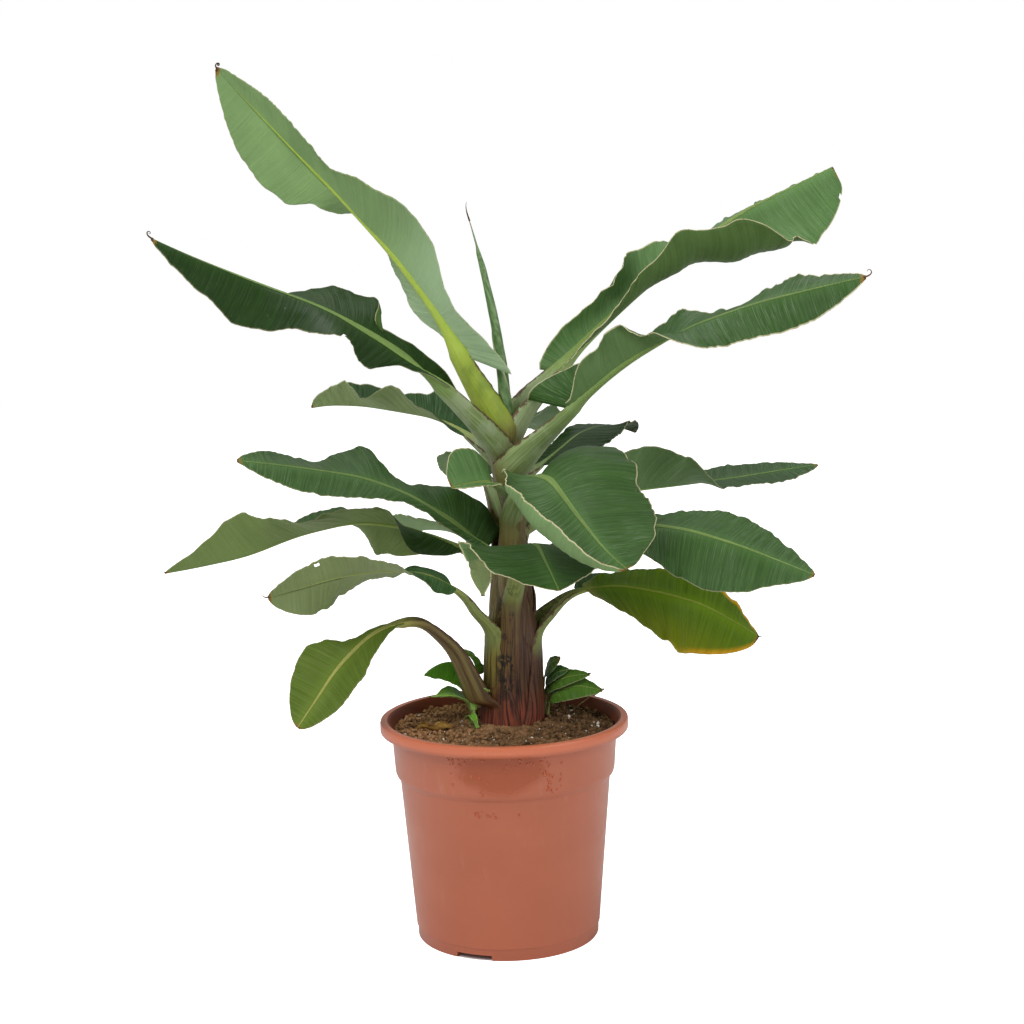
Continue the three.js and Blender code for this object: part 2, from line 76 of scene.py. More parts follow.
# A leaf grows from its foot on the stem for a length, first as a stalk and then as the midrib of the
# blade. rise and heading are its angles in degrees at even stations from foot to tip. The blade halves
# L and R (left and right, looking outward) have a half width, a lift above the level, a curl toward the
# upper side and an ear that reaches back past the stalk's neck, at even stations from neck to tip.
LEAVES = {
    "tall_left": dict(
        foot=(5, 12, 490), length=477, stalk=0.18, root=16.5, neck=13, tone="fresh", twist=50, base=1,
        rise=[63, 61, 50, 44, 42, 43, 43], heading=[178, 160, 151, 152, 152, 151, 151],
        widthL=[48, 25, 46, 52, 43, 34, 40, 44, 46, 46, 46],
        widthR=[10, 24, 34, 32, 26, 26, 56, 66, 68, 66, 60], earL=[45, 30, 14, 6, 0, 0, 0, 0, 0, 0, 0],
        liftL=[68, 68, 85, 62, 50, 48, 58, 60], liftR=[-40, -70, -40, 10, -80, -90, -90, -90], ripple=3,
        ripples=3, thread=(30, 3.0)),
    "high_left": dict(
        foot=(5, 10, 470), length=407, stalk=0.24, root=16, neck=12, tone="dark", base=0.5,
        rise=[51, 43, 35, 30, 21, 23, 26], heading=[221, 215, 211, 209, 205, 203, 203],
        widthL=[14, 16, 40, 46, 50, 38, 52, 62, 54, 46, 46],
        widthR=[40, 27, 14, 50, 56, 52, 48, 48, 48, 48, 48], earR=[35, 15, 0, 26, 16, 5, 0, 0, 0, 0, 0],
        liftL=[-25, -60, -52, -30, -45, -65, -56, -50], liftR=[40, 55, 62, 35, 5, -5, -10, 0], ripple=4,
        ripples=3, thread=(22, 1.2), tears=[("L", 0.36, 0.72, 1.6)]),
    "back_left": dict(
        foot=(0, 30, 460), length=233, stalk=0.2, root=10, neck=6, tone="pale",
        rise=[31, 28, 16, 6, 7, 1, -9], heading=[134, 136, 143, 149, 155, 162, 164], widthL=45,
        widthR=[36, 38, 40, 24, 25, 19, 22, 28, 42, 42, 42], liftL=[10, 30, 40, 25, 50, 60],
        liftR=[45, 50, 50, 65, 60, 40], ripple=3, ripples=3),
    "mid_left": dict(
        foot=(5, -10, 370), length=283, stalk=0.08, root=12, neck=8, tone="mid",
        rise=[38, 38, 34, 23, 12, 10, 8], heading=[204, 202, 200, 198, 196, 195, 195],
        widthL=[14, 15, 15, 14, 24, 35, 41, 43, 44, 44, 44],
        widthR=[40, 42, 38, 24, 30, 58, 57, 55, 55, 55, 55], base=0.9, earR=14,
        liftL=[-50, -50, -45, -24, -22, -28, -34, -36, -36, -34, -28],
        liftR=[52, 56, 52, 34, 20, 28, 14, 6, 12, 18, 25], ripple=3, ripples=2),
    "long_left": dict(
        foot=(0, 15, 350), length=374, stalk=0.12, root=11, neck=7, tone="glow",
        rise=[45, 22, 6, -14, -22, -13, -11], heading=[174, 170, 165, 163, 162, 163, 163],
        widthL=[46, 46, 46, 46, 46, 47, 50, 52, 44, 34, 30], widthR=44,
        liftL=[-55, -50, 35, 28, 20, 35, 65, 75, 70, 60], liftR=[-50, -75, -60, 20, 20, 20, 30, 40],
        ripple=2, ripples=2),
    "low_left": dict(
        foot=(-10, -5, 280), length=266, stalk=0.3, root=10, neck=5.5, tone="grey", sheath="olive",
        hug=45, rise=[78, 59, 31, 8, -4, -12, -12], heading=[211, 209, 204, 202, 201, 198, 197],
        widthL=40, widthR=44, blunt=0.5, liftL=[-35, -25, 0, 20, 35, 50, 50, 40],
        liftR=[30, 10, -15, -20, -35, -55, -75, -70], thread=(14, 0.6), hole=("L", 0.72, 0.8)),
    "drooping_left": dict(
        foot=(-20, -5, 225), length=276, stalk=0.48, root=16, neck=8, tone="old", sheath="brown", hug=12,
        rise=[71, 66, 43, -15, -42, -55, -54], heading=[205, 202, 199, 197, 194, 192, 192],
        widthL=[16, 30, 32, 32, 32, 32], widthR=[12, 12, 13, 16, 29, 38, 40, 40, 40, 40, 40], blunt=0.5,
        liftL=[-10, -20, -35, -45, -35], liftR=[10, 20, 60, 60, 50]),
    "tall_right": dict(
        foot=(5, 20, 485), length=448, stalk=0.2, root=21, neck=14, tone="light", edging=0.8,
        tip_burn=0.006, rise=[59, 40, 37, 35, 32, 23, 23], heading=[22, 21, 25, 24, 23, 19, 19],
        widthL=[35, 32, 42, 40, 44, 42, 30, 28], widthR=[20, 25, 42, 74, 112, 92, 74, 64], broad=1,
        blunt=0.3, base=0.5, earL=14, liftL=[50, 50, 50, 10, -10, -10, -10, -10],
        liftR=[20, 10, 10, -30, -80, -85, -70, -60], curlL=[0, 80, 110, 60, 0, 0, 0, 0],
        curlR=[0, 60, 90, 165, 196, 120, 20, 0], tears=[("L", 0.972, 0.5, 3.0), ("R", 0.968, 0.86, 3.0)]),
    "high_right": dict(
        foot=(10, 5, 455), length=400, stalk=0.24, root=20, neck=10, tone="dusk", edging=0.9,
        rise=[44, 40, 36, 28, 19, 13, 12], heading=[320, 332, 330, 332, 339, 340, 341],
        widthL=[64, 60, 46, 44, 42, 44, 44, 44, 44, 44, 44],
        widthR=[15, 34, 35, 31, 37, 44, 48, 48, 48, 48, 48], base=0.75, earL=44,
        earR=[0, 9, 22, 14, 4, 0, 0, 0, 0, 0, 0], liftL=[78, 50, 30, 30, 28, 10, 8, 16, 28, 30, 30],
        liftR=[65, 85, 102, 92, 10, -26, -42, -52, -60, -62, -55], ripple=3, ripples=3, thread=(22, 0.8)),
    "back_right": dict(
        foot=(15, 30, 440), length=184, stalk=0.2, root=10, neck=5, tone="dark",
        rise=[19, 20, 22, 21, 10, -10, -22], heading=[44, 46, 52, 52, 44, 35, 30], widthL=52, widthR=50,
        liftL=[-5, -15, -20, 0, 10], liftR=[10, 0, 0, 10, 30]),
    "mid_right": dict(
        foot=(15, 25, 390), length=345, stalk=0.3, root=10, neck=6, tone="deep",
        rise=[21, 14, 6, 2, 4, 6, 6], heading=[41, 35, 23, 20, 16, 13, 13],
        widthL=[38, 38, 38, 34, 30, 30, 30], widthR=[60, 60, 50, 44, 44, 46], base=0.6,
        liftL=[30, 30, 15, 10, 20, 20, 10], liftR=[66, 66, 40, 0, -5, -15, -15]),
    "broad_right": dict(
        foot=(20, 0, 360), length=302, stalk=0.35, root=10, neck=6.5, tone="mid",
        rise=[35, 33, 6, -4, -15, -20, -21], heading=[341, 341, 337, 338, 340, 343, 344], widthL=48,
        widthR=54, liftL=[5, 10, 14, 20, 22, 18, 12], liftR=[-20, -30, -35, -45, -55, -50, -35, -35]),
    "low_right": dict(
        foot=(30, 10, 275), length=281, stalk=0.3, root=9, neck=4.5, tone="yellow", sheath="brown",
        hug=38, rise=[79, 46, 3, -13, -19, -31, -35], heading=[23, 15, 15, 16, 17, 15, 14], widthL=42,
        widthR=[52, 55, 56, 54, 52], blunt=0.45, liftL=[5, 15, 22, 30, 42, 40, 20],
        liftR=[-15, -28, -40, -50, -70, -80, -80, -75], thread=(8, 0.5)),
    "front_right": dict(
        foot=(10, 0, 405), length=253, stalk=0.3, root=11, neck=9, tone="mid", edging=1,
        rise=[58, 49, 1, -21, -25, -32, -32], heading=[291, 296, 298, 290, 293, 304, 324],
        widthL=[90, 84, 72, 74, 78, 78, 78], widthR=[30, 58, 75, 78, 78, 78, 78], blunt=0.45, broad=0.9,
        base=0.9, earR=14, earL=16, liftL=[44, 36, 14, 0, 0], curlL=[-58, -50, -20, 0, 0],
        liftR=[15, -30, -60, -60, -50], curlR=[0, 100, 165, 165, 120], tip_burn=0.012),
    "front_low": dict(
        foot=(10, -10, 330), length=188, stalk=0.35, root=10, neck=7, tone="mid", edging=1,
        rise=[55, 56, 52, 0, -12, -24, -35], heading=[288, 287, 300, 283, 278, 285, 290],
        widthL=[66, 70, 66], widthR=[70, 76, 76, 72], blunt=0.7, broad=0.55, base=0.9,
        liftL=[-5, -10, -10, -10, -10], liftR=[-4, -6, -10, -12, -8], curlR=[0, 20, 40, 20, 0],
        tip_burn=0.015),
    # this blade faces up and to the left, and its light tone is painted light
    "front_left": dict(
        foot=(10, -5, 433), length=78, stalk=0.3, root=10, neck=6, tone="light", edging=1,
        rise=[40, 32, 16, 5, 0, -5, -8], heading=[232, 230, 226, 222, 220, 218, 218], widthL=9,
        widthR=[32, 36, 36, 33], blunt=0.5, base=0.7, broad=1, liftL=-20, liftR=[60, 62, 60, 58, 50],
        tip_burn=0.05),
    "rear_right": dict(
        foot=(15, 25, 375), length=290, stalk=0.25, root=10, neck=5, tone="mid",
        rise=[45, 30, 5, -12, -25, -35, -40], heading=[68, 68, 66, 64, 62, 60, 60],
        **even(42, [25, 25, 15, 5, 0]), ripple=2, ripples=3),
    "rear_left": dict(
        foot=(0, 28, 340), length=290, stalk=0.25, root=10, neck=5, tone="mid",
        rise=[45, 25, 2, -6, -11, -16, -20], heading=[120, 120, 118, 116, 116, 116, 116],
        **even(40, [30, 30, 25, 10, 0]), ripple=2, ripples=3),
    "rear_low": dict(
        foot=(25, 30, 290), length=270, stalk=0.28, root=10, neck=5, tone="deep", sheath="brown",
        rise=[45, 25, 0, -12, -20, -28, -30], heading=[40, 38, 36, 33, 30, 30, 30],
        **even(36, [20, 20, 10, 5, 0]), ripple=2, ripples=2),
    "rear_high": dict(
        foot=(10, 28, 450), length=320, stalk=0.25, root=11, neck=5, tone="deep",
        rise=[30, 20, 5, -5, -10, -12, -15], heading=[85, 85, 84, 82, 80, 80, 80],
        **even(36, [35, 30, 20, 10, 10]), ripple=2, ripples=3),
    "rear_mid": dict(
        foot=(0, 28, 410), length=300, stalk=0.25, root=11, neck=5, tone="mid",
        rise=[30, 20, 5, -8, -12, -18, -20], heading=[102, 102, 100, 98, 97, 96, 96],
        **even(36, [35, 30, 20, 10, 10]), ripple=2, ripples=2),
}

# The part of the low front leaf's left margin that hangs folded down, with its underside outward.
FOLDED_FLAP = dict(
    path=[(-28, -58, 392), (-23, -54, 378), (-19, -50, 362), (-17, -46, 342)], stalk=0.02, root=0.8,
    neck=0.7, tone="grey", edging=1, widthL=[14, 17, 15, 12], widthR=[14, 15, 12, 10], liftL=[5, 15, 20],
    liftR=[-5, 10, 20], base=1, broad=1, blunt=0.8)

# Leaves of the young shoots at the foot of the stem. Each follows a path of a few points.
SHOOT_LEAVES = {
    "left_1": dict(
        path=[(-30, 22, 206), (-37, 22, 232), (-52, 20, 246), (-77, 18, 253)], stalk=0.3, width=23,
        lift=(10, 45), tone="bright"),
    "left_2": dict(
        path=[(-29, 30, 206), (-25, 30, 244), (-28, 28, 262), (-38, 26, 276)], stalk=0.42, width=12,
        lift=(25, 25), tone="bright"),
    "left_3": dict(
        path=[(-31, 24, 206), (-36, 22, 226), (-50, 16, 236), (-66, 12, 233)], stalk=0.3, width=12,
        lift=(-10, 20), tone="lime"),
    "left_4": dict(
        path=[(-28, -6, 204), (-33, -10, 228), (-47, -14, 238), (-71, -18, 240)], stalk=0.3, width=8,
        lift=(20, 10), tone="lime"),
    "left_5": dict(
        path=[(-27, -12, 204), (-29, -14, 224), (-22, -16, 241), (-12, -18, 244)], stalk=0.35, width=7,
        lift=(-25, 60), tone="lime", thread=(20, 1.5)),
    "left_6": dict(
        path=[(-28, -15, 206), (-34, -18, 218), (-30, -22, 221), (-25, -26, 210)], stalk=0.2, width=5,
        lift=(10, 10), tone="bright"),
    "right_1": dict(
        path=[(40, 30, 206), (39, 30, 240), (45, 28, 258), (56, 26, 266)], stalk=0.42, width=12,
        lift=(20, -30), tone="moss", tip_burn=0.2),
    "right_2": dict(
        path=[(40, 26, 206), (41, 26, 236), (50, 24, 250), (64, 22, 255)], stalk=0.36, width=11,
        lift=(30, -20), tone="grey"),
    "right_3": dict(
        path=[(40, 21, 206), (42, 20, 234), (60, 16, 248), (84, 12, 252)], stalk=0.3, width=12,
        lift=(25, -30), tone="moss", thread=(8, 0.4)),
    "right_4": dict(
        path=[(41, 14, 206), (47, 13, 230), (70, 9, 241), (96, 6, 237)], stalk=0.25, width=16,
        lift=(20, -40), tone="moss", thread=(9, 0.9)),
}
SHOOT_NODES = {
    "left_1": ("shoot_leaf_left_1", "shoot_left"), "left_2": ("shoot_leaf_left_2",),
    "left_3": ("shoot_leaf_left_3",), "right_1": ("shoot_leaf_right_1", "shoot_right"),
    "right_3": ("shoot_leaf_right_2",), "right_4": ("shoot_leaf_right_3",)}

LEAF_DEFAULTS = dict(
    foot=(0, 0, 0), length=0, rise=0, heading=0, path=(), stalk=0.04, root=3.0, neck=1.6, tone="mid",
    sheath="green", widthL=40, widthR=40, liftL=0, liftR=0, curlL=0, curlR=0, earL=0, earR=0, broad=0.8,
    blunt=0.62, base=0.12, ripple=0, ripples=0, thread=None, tears=(), hole=None, tip_burn=0.02, hug=0,
    edging=0.35, twist=0)

# upper side, pale streaks, underside and midrib of a blade
TONES = {
    "dark": ("#16300a", "#213d0c", "#415c28", "#7c9a4e"),
    "deep": ("#26411a", "#335223", "#5f7c4c", "#7f9c50"),
    "mid": ("#314d22", "#42632e", "#76935f", "#7f9a52"),
    # the light tone is partly painted light: a lighter green for blades that face up toward the lamp
    "light": ("#4d6e3c", "#5f824a", "#4a6431", "#8aa456"),
    "pale": ("#24401a", "#315226", "#8ea26a", "#a0ae5c"),
    "fresh": ("#3c6a28", "#558238", "#7b9a62", "#a8c04a"),
    "dusk": ("#2c491c", "#3b5d26", "#587343", "#7f9a52"),
    "grey": ("#34562a", "#47703a", "#80905e", "#a0ae5c"),
    "glow": ("#2a4519", "#3a5a24", "#70854a", "#93a850"),
    "old": ("#4f651d", "#617529", "#646f2a", "#b4b560"),
    "yellow": ("#425e00", "#5a7600", "#74852a", "#8a9a30"),
    "bright": ("#4a7e18", "#65a02c", "#6b9c38", "#8fb84c"),
    "lime": ("#5f8f2a", "#7cae40", "#8cb858", "#a8ca6a"),
    "moss": ("#40601c", "#567c2a", "#6a8a3c", "#8fa653"),
}
CLEAN_TONES = ("dark", "old", "yellow", "bright")      # blades with hardly any dust
DUST = "#93a58c"
SHEATHS = {"green": "#6b5328", "olive": "#94802e", "brown": "#5c3422"}


# ---------------------------------------------------------------- sizes and colours a user may change
def length_setting(name, description, default):
    return FloatProperty(name=name, description=description, default=default, unit="LENGTH")


def count_setting(name, description, default, least=0):
    return IntProperty(name=name, description=description, default=default, min=least)


def colour_setting(name, description, *default):
    return FloatVectorProperty(name=name, description=description, default=(*default, 1),
                               size=4, subtype="COLOR")


class BananaPotSettings(bpy.types.PropertyGroup):
    height: length_setting("Height", "Height of the pot", POT_HEIGHT * MM)
    rim_radius: length_setting("Rim Radius", "Outer radius of the rim", RIM_RADIUS * MM)
    wall: length_setting("Wall", "Thickness of the plastic wall", 0.0028)
    drops: count_setting("Water Drops", "Drops left on the collar after watering", 90)
    colour: colour_setting("Colour", "Colour of the plastic", 0.455, 0.118, 0.052)
    wet_colour: colour_setting("Wet Colour", "Colour of the plastic where it is wet", 0.36, 0.066, 0.012)


class BananaSoilSettings(bpy.types.PropertyGroup):
    crumbs: count_setting("Crumbs", "Loose crumbs of compost", 2600)
    perlite: count_setting("Perlite", "White grains in the compost", 120)
    colour: colour_setting("Colour", "Colour of the compost", 0.28, 0.152, 0.072)


class BananaLeafSettings(bpy.types.PropertyGroup):
    thickness: length_setting("Thickness", "Thickness of a blade", 0.0005)
    frill: length_setting("Frill", "Height of the small waves along a margin", 0.0012)
    rows: count_setting("Rows", "Rows of faces along a blade", 150, 20)
    half_columns: count_setting("Half Columns", "Columns of faces on each half of a blade", 15, 8)
    margin: colour_setting("Margin", "Colour of the dry edge of a blade", 0.62, 0.58, 0.34)


class BananaStemSettings(bpy.types.PropertyGroup):
    foot_colour: colour_setting("Foot", "Colour of the stem at the soil", 0.27, 0.068, 0.036)
    middle_colour: colour_setting("Middle", "Colour of the stem half way up", 0.085, 0.042, 0.012)
    top_colour: colour_setting("Top", "Colour of the stem under the leaves", 0.30, 0.33, 0.11)
    sheath_drop: length_setting("Sheath Length", "How far a leaf's sheath reaches down the stem", 0.17)


class BananaStageSettings(bpy.types.PropertyGroup):
    floor_colour: colour_setting("Floor", "Colour of the floor", 0.9, 0.9, 0.9)
    key_power: FloatProperty(name="Key Light", description="Power of the large soft light",
                             default=44.0, unit="POWER")
    sky: FloatProperty(name="Sky", description="Strength of the even light from all round",
                       default=0.40, min=0)
    camera_lens: FloatProperty(name="Lens", description="Focal length on a 36 mm wide sensor, in millimetres",
                               default=71.0, min=10)


# ---------------------------------------------------------------- numbers
def smooth(x, low=0.0, high=1.0):
    t = min(max((x - low) / (high - low), 0.0), 1.0)
    return t * t * (3 - 2 * t)


def lerp(a, b, t):
    return a + (b - a) * t


def station(values, t):
    """The smooth value at t in 0..1 of numbers given at even stations."""
    if not isinstance(values, (list, tuple)):
        return values
    x = min(max(t, 0.0), 1.0) * (len(values) - 1)
    i = min(int(x), len(values) - 2)
    return lerp(values[i], values[i + 1], smooth(x - i))


def catmull(points, t):
    """The point at t in 0..1 of a smooth curve through points."""
    x = min(max(t, 0.0), 1.0) * (len(points) - 1)
    i = min(int(x), len(points) - 2)
    k = x - i
    p1, p2 = points[i], points[i + 1]
    p0 = points[i - 1] if i else p1 * 2 - p2
    p3 = points[i + 2] if i + 2 < len(points) else p2 * 2 - p1
    square, cube = 2 * p0 - 5 * p1 + 4 * p2 - p3, 3 * p1 - p0 - 3 * p2 + p3
    return 0.5 * (2 * p1 + (p2 - p0) * k + square * k * k + cube * k ** 3)


def rough(x, y=0.0, z=0.0):
    """Repeatable noise between about -1 and 1."""
    return noise.noise(Vector((x, y, z)))


def srgb(code):
    """A linear colour with alpha from a #rrggbb code."""
    channels = [int(code[i:i + 2], 16) / 255 for i in (1, 3, 5)]
    return tuple(c / 12.92 if c <= 0.04045 else ((c + 0.055) / 1.055) ** 2.4 for c in channels) + (1.0,)


def stem_at(z):
    """Centre and radius of the stem at a height."""
    z = min(max(z, STEM[0][2]), STEM[-1][2])
    for a, b in zip(STEM, STEM[1:]):
        if z <= b[2]:
            t = (z - a[2]) / (b[2] - a[2])
            centre = Vector((lerp(a[0], b[0], t), lerp(a[1], b[1], t), z))
            return centre, lerp(a[3], b[3], smooth(t) * 0.5 + t * 0.5)
    return Vector(STEM[-1][:3]), STEM[-1][3]


# ---------------------------------------------------------------- shape of a leaf
class Leaf:
    """The midrib, stalk, sheath and blade of one leaf, in millimetres."""
    STEPS = 240

    def __init__(self, name, **shape):
        vars(self).update(LEAF_DEFAULTS)
        vars(self).update(shape)
        self.name = name
        self.seed = sum(ord(c) * (i + 1) for i, c in enumerate(name)) % 97
        self.points = self.follow_path() if self.path else self.grow()
        self.length = sum((b - a).length for a, b in zip(self.points, self.points[1:]))
        self.frames = [self.frame_at(i / self.STEPS) for i in range(self.STEPS + 1)]

    def follow_path(self):
        path = [Vector(p) for p in self.path]
        return [catmull(path, i / self.STEPS) for i in range(self.STEPS + 1)]

    def grow(self):
        points = [Vector(self.foot)]
        for i in range(self.STEPS):
            f = (i + 0.5) / self.STEPS
            rise, heading = math.radians(station(self.rise, f)), math.radians(station(self.heading, f))
            level = math.cos(rise)
            step = Vector((level * math.cos(heading), level * math.sin(heading), math.sin(rise)))
            points.append(points[-1] + step * (self.length / self.STEPS))
        return points

    def at(self, f):
        x = min(max(f, 0.0), 1.0) * self.STEPS
        i = min(int(x), self.STEPS - 1)
        return self.points[i].lerp(self.points[i + 1], x - i)

    def frame_at(self, f):
        """Midrib point, outward direction, right-hand side and upper side at f from foot to tip."""
        along = (self.at(f + 0.01) - self.at(f - 0.01)).normalized()
        right = along.cross(UP).normalized()
        return self.at(f), along, right, right.cross(along)

    def frame(self, f):
        x = min(max(f, 0.0), 1.0) * self.STEPS
        i = min(int(x), self.STEPS - 1)
        return [a.lerp(b, x - i) for a, b in zip(self.frames[i], self.frames[i + 1])]

    def twist_at(self, f):
        """How far the section of the stalk and rib is rolled to the right, in radians."""
        s = (f - self.stalk) / (1 - self.stalk)
        held = math.radians((station(self.liftL, s) - station(self.liftR, s)) / 2)
        held = min(max(held, -1.0), 1.0)
        return lerp(math.radians(self.twist), held, smooth(s, 0.02, 0.2))

    def turned_frame(self, f):
        """The frame at f rolled by the twist."""
        centre, along, right, upper = self.frame(f)
        turn = self.twist_at(f)
        c, k = math.cos(turn), math.sin(turn)
        return centre, along, right * c - upper * k, upper * c + right * k

    def blade_length(self):
        return self.length * (1 - self.stalk)

    def rib_radius(self, s):
        return 0.6 + (self.neck - 0.6) * (1 - s) ** 1.3 * (0.36 + 0.64 * math.exp(-s / 0.06))

    def half_width(self, side, s):
        x = s ** self.broad
        v = max(0.0, math.sin(math.pi * x)) ** self.blunt
        if x < 0.5:
            v = self.base + (1 - self.base) * v
        waver = rough(s * 9, self.seed, 3 if side == "L" else 7)
        edge = 1 + 0.02 * waver + 0.005 * rough(s * 40, self.seed, 1)
        return max(station(getattr(self, "width" + side), s) * v * edge, 1.25 * self.rib_radius(s) + 1.5)

    def blade_point(self, row, side, d, frill):
        """The point of the blade at row from neck to tip and d from the rib on one side.
        Rows lean toward the tip as the side veins do. Also gives the distance to the margin."""
        lean = 0.10 * (1 - row) * min(1.0, row * 6)
        w = self.half_width(side, row)
        s = row + lean * (d / w) ** 1.3
        u = d / w
        centre, along, right, upper = self.frame(self.stalk + (1 - self.stalk) * s)
        lift = math.radians(station(getattr(self, "lift" + side), s))
        curl = math.radians(station(getattr(self, "curl" + side), s))
        r = self.rib_radius(s)
        turn = self.twist_at(self.stalk + (1 - self.stalk) * s) * (-1 if side == "L" else 1)
        root = min(d, 0.9 * r)
        t = d - root
        bend = curl / w
        tilt = lift + bend * t
        if abs(curl) > 1e-3:
            a = (math.sin(tilt) - math.sin(lift)) / bend
            b = -(math.cos(tilt) - math.cos(lift)) / bend
        else:
            a, b = t * math.cos(lift), t * math.sin(lift)
        a, b = a + root * math.cos(turn), b - root * math.sin(turn)
        phase = 0 if side == "L" else 1.3
        b += self.ripple * u * u * math.sin(math.pi * s) * math.sin(2 * math.pi * self.ripples * s + phase)
        run = row * self.blade_length()
        pleat = 0.22 * math.sin(run * 0.7 + 2.2 * rough(run * 0.05, self.seed)) * smooth(u, 0.05, 0.3)
        small = min(1.0, w / 30)
        wave = rough(run * 0.10, self.seed, phase) + 0.35 * rough(run * 0.3, phase, self.seed)
        wave *= 2 * frill * small * (0.5 + self.edging) * smooth(u, 0.66, 1)
        swell = 1.6 * small * rough(run * 0.02, u * 1.5, self.seed + phase) * smooth(u, 0.1, 0.6)
        off = pleat + wave + swell
        a -= off * math.sin(tilt)
        b += off * math.cos(tilt)
        b -= 0.3 * r * (1 - smooth(d / r, 0.55, 0.95))
        ear = getattr(self, "ear" + side)
        if isinstance(ear, list):
            ear = station(ear, row)
        else:
            ear *= max(0.0, 1 - row / 0.3) ** 2
        sign = -1 if side == "L" else 1
        return centre + right * (sign * a) + upper * b - along * (ear * u)

    def columns(self, side, s, count):
        """Distances from the rib of the blade's columns: close together at the rib and the margin."""
        r, w = self.rib_radius(s), self.half_width(side, s)
        near = [0, 0.5 * r, 0.8 * r, 1.0 * r]
        rest = count - len(near) + 1
        return near + [lerp(r, w, 1 - (1 - k / rest) ** 1.25) for k in range(1, rest + 1)]


def sheath_azimuth(leaf):
    centre, _ = stem_at(leaf.foot[2])
    out = Vector(leaf.foot) - centre
    if out.xy.length < 10:
        return math.radians(station(leaf.heading, 0))
    return math.atan2(out.y, out.x)


def stalk_section(leaf, f, phi, inner):
    """Point of the stalk and midrib at f from foot to tip. phi is -1 at the left edge, 1 at the right."""
    centre, _, right, upper = leaf.turned_frame(f)
    if f < leaf.stalk:
        t = f / leaf.stalk
        r = lerp(leaf.root, leaf.neck, t)
        reach = math.radians(lerp(124, 98, smooth(t)))
        depth = lerp(1.15, 0.2, smooth(t, 0.2, 1)) * r
        fray = 0.09 * (1 - smooth(t, 0.6, 1)) * smooth(abs(phi), 0.85, 1)
        ragged = 1 + fray * rough(f * 90, leaf.seed, phi)
    else:
        s = (f - leaf.stalk) / (1 - leaf.stalk)
        r, reach, ragged = leaf.rib_radius(s), math.radians(97), 1
        depth = lerp(0.2, 0.1, smooth(s, 0, 0.3)) * r
    edge_x, edge_y = r * math.sin(reach), -0.85 * r * math.cos(reach)
    if inner:
        wall = min(0.12 * r + 0.3, 0.3 * r)
        x = (edge_x - wall) * phi
        y = edge_y - depth * (1 - phi * phi)
    else:
        x, y = r * math.sin(phi * reach), -0.85 * r * math.cos(phi * reach)
    return centre + right * (x * ragged) + upper * (y * ragged)


def sheath_section(leaf, others, z, phi, inner):
    """Point of the part of the stalk that wraps the stem, at a height below the foot."""
    centre, radius = stem_at(z)
    drop = leaf.foot[2] - z
    under = sum(smooth(o.foot[2] - z, 0, 25) for o in others if o.foot[2] < leaf.foot[2])
    radius = max(radius - 0.55 * under, radius - 4.2)
    radius += 2.2 * math.cos(phi * math.pi / 2) * (1 - smooth(drop, 20, 110))
    radius += 0.45 * rough(phi * 5, leaf.seed, z * 0.01) + 0.25 * rough(phi * 16, leaf.seed, z * 0.012)
    spread = math.radians(lerp(38, 78, smooth(drop, 0, 130)) + 5 * rough(z * 0.03, leaf.seed, phi))
    angle = sheath_azimuth(leaf) - phi * spread
    wall = lerp(2.2, 0.6, abs(phi) ** 3)
    return centre + Vector((math.cos(angle), math.sin(angle), 0)) * (radius - (wall if inner else 0))


# ---------------------------------------------------------------- mesh helpers
def grid_mesh(rows, columns, uv_map=None, *attributes):
    """A flat bmesh grid with the (row, column) of each of its vertices, both counted from 0 to 1,
    followed by its new UV map and number attributes."""
    bm = bmesh.new()
    for name in attributes:
        bm.verts.layers.float.new(name)
    if uv_map:
        bm.loops.layers.uv.new(uv_map)
    bmesh.ops.create_grid(bm, x_segments=rows, y_segments=columns, size=0.5)
    places = {v: (v.co.x + 0.5, v.co.y + 0.5) for v in bm.verts}
    return bm, places, *(bm.verts.layers.float[name] for name in attributes)


def lay_uv(bm, name, uv):
    """Writes a UV map from one place for each vertex, before the mesh is joined up."""
    layer = bm.loops.layers.uv[name]
    for face in bm.faces:
        for loop in face.loops:
            loop[layer].uv = uv[loop.vert]


def close_tube(bm):
    """Joins the long seam of a rolled grid and fills its two ends."""
    bmesh.ops.remove_doubles(bm, verts=bm.verts, dist=0.002)
    ends = [e for e in bm.edges if e.is_boundary]
    bmesh.ops.holes_fill(bm, edges=ends, sides=0)
    bmesh.ops.recalc_face_normals(bm, faces=bm.faces)


def finish_piece(bm, name, materials, nodes=()):
    """Turns a bmesh in millimetres into a piece in metres that rides on the plant."""
    bmesh.ops.scale(bm, vec=(MM, MM, MM), verts=bm.verts)
    mesh = bpy.data.meshes.new(name)
    bm.to_mesh(mesh)
    bm.free()
    mesh.shade_smooth()
    for material in materials:
        mesh.materials.append(material)
    piece = bpy.data.objects.new(name, mesh)
    bpy.context.scene.collection.objects.link(piece)
    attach(piece, "root")
    if nodes:
        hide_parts(*nodes)
    return piece


def add_tube(bm, points, radii, sides=8):
    """Adds a closed tapering tube through points."""
    rings = []
    for i, (p, r) in enumerate(zip(points, radii)):
        ahead = points[min(i + 1, len(points) - 1)] - points[max(i - 1, 0)]
        turn = ahead.to_track_quat("Z", "Y").to_matrix().to_4x4()
        place = Matrix.Translation(p) @ turn
        ring = bmesh.ops.create_circle(bm, segments=sides, radius=r, matrix=place)["verts"]
        bm.verts.index_update()
        rings.append(sorted(ring, key=lambda v: v.index))
    for low, high in zip(rings, rings[1:]):
        for k in range(sides):
            bm.faces.new((low[k], low[(k + 1) % sides], high[(k + 1) % sides], high[k]))
    bm.faces.new(list(reversed(rings[0])))
    bm.faces.new(rings[-1])


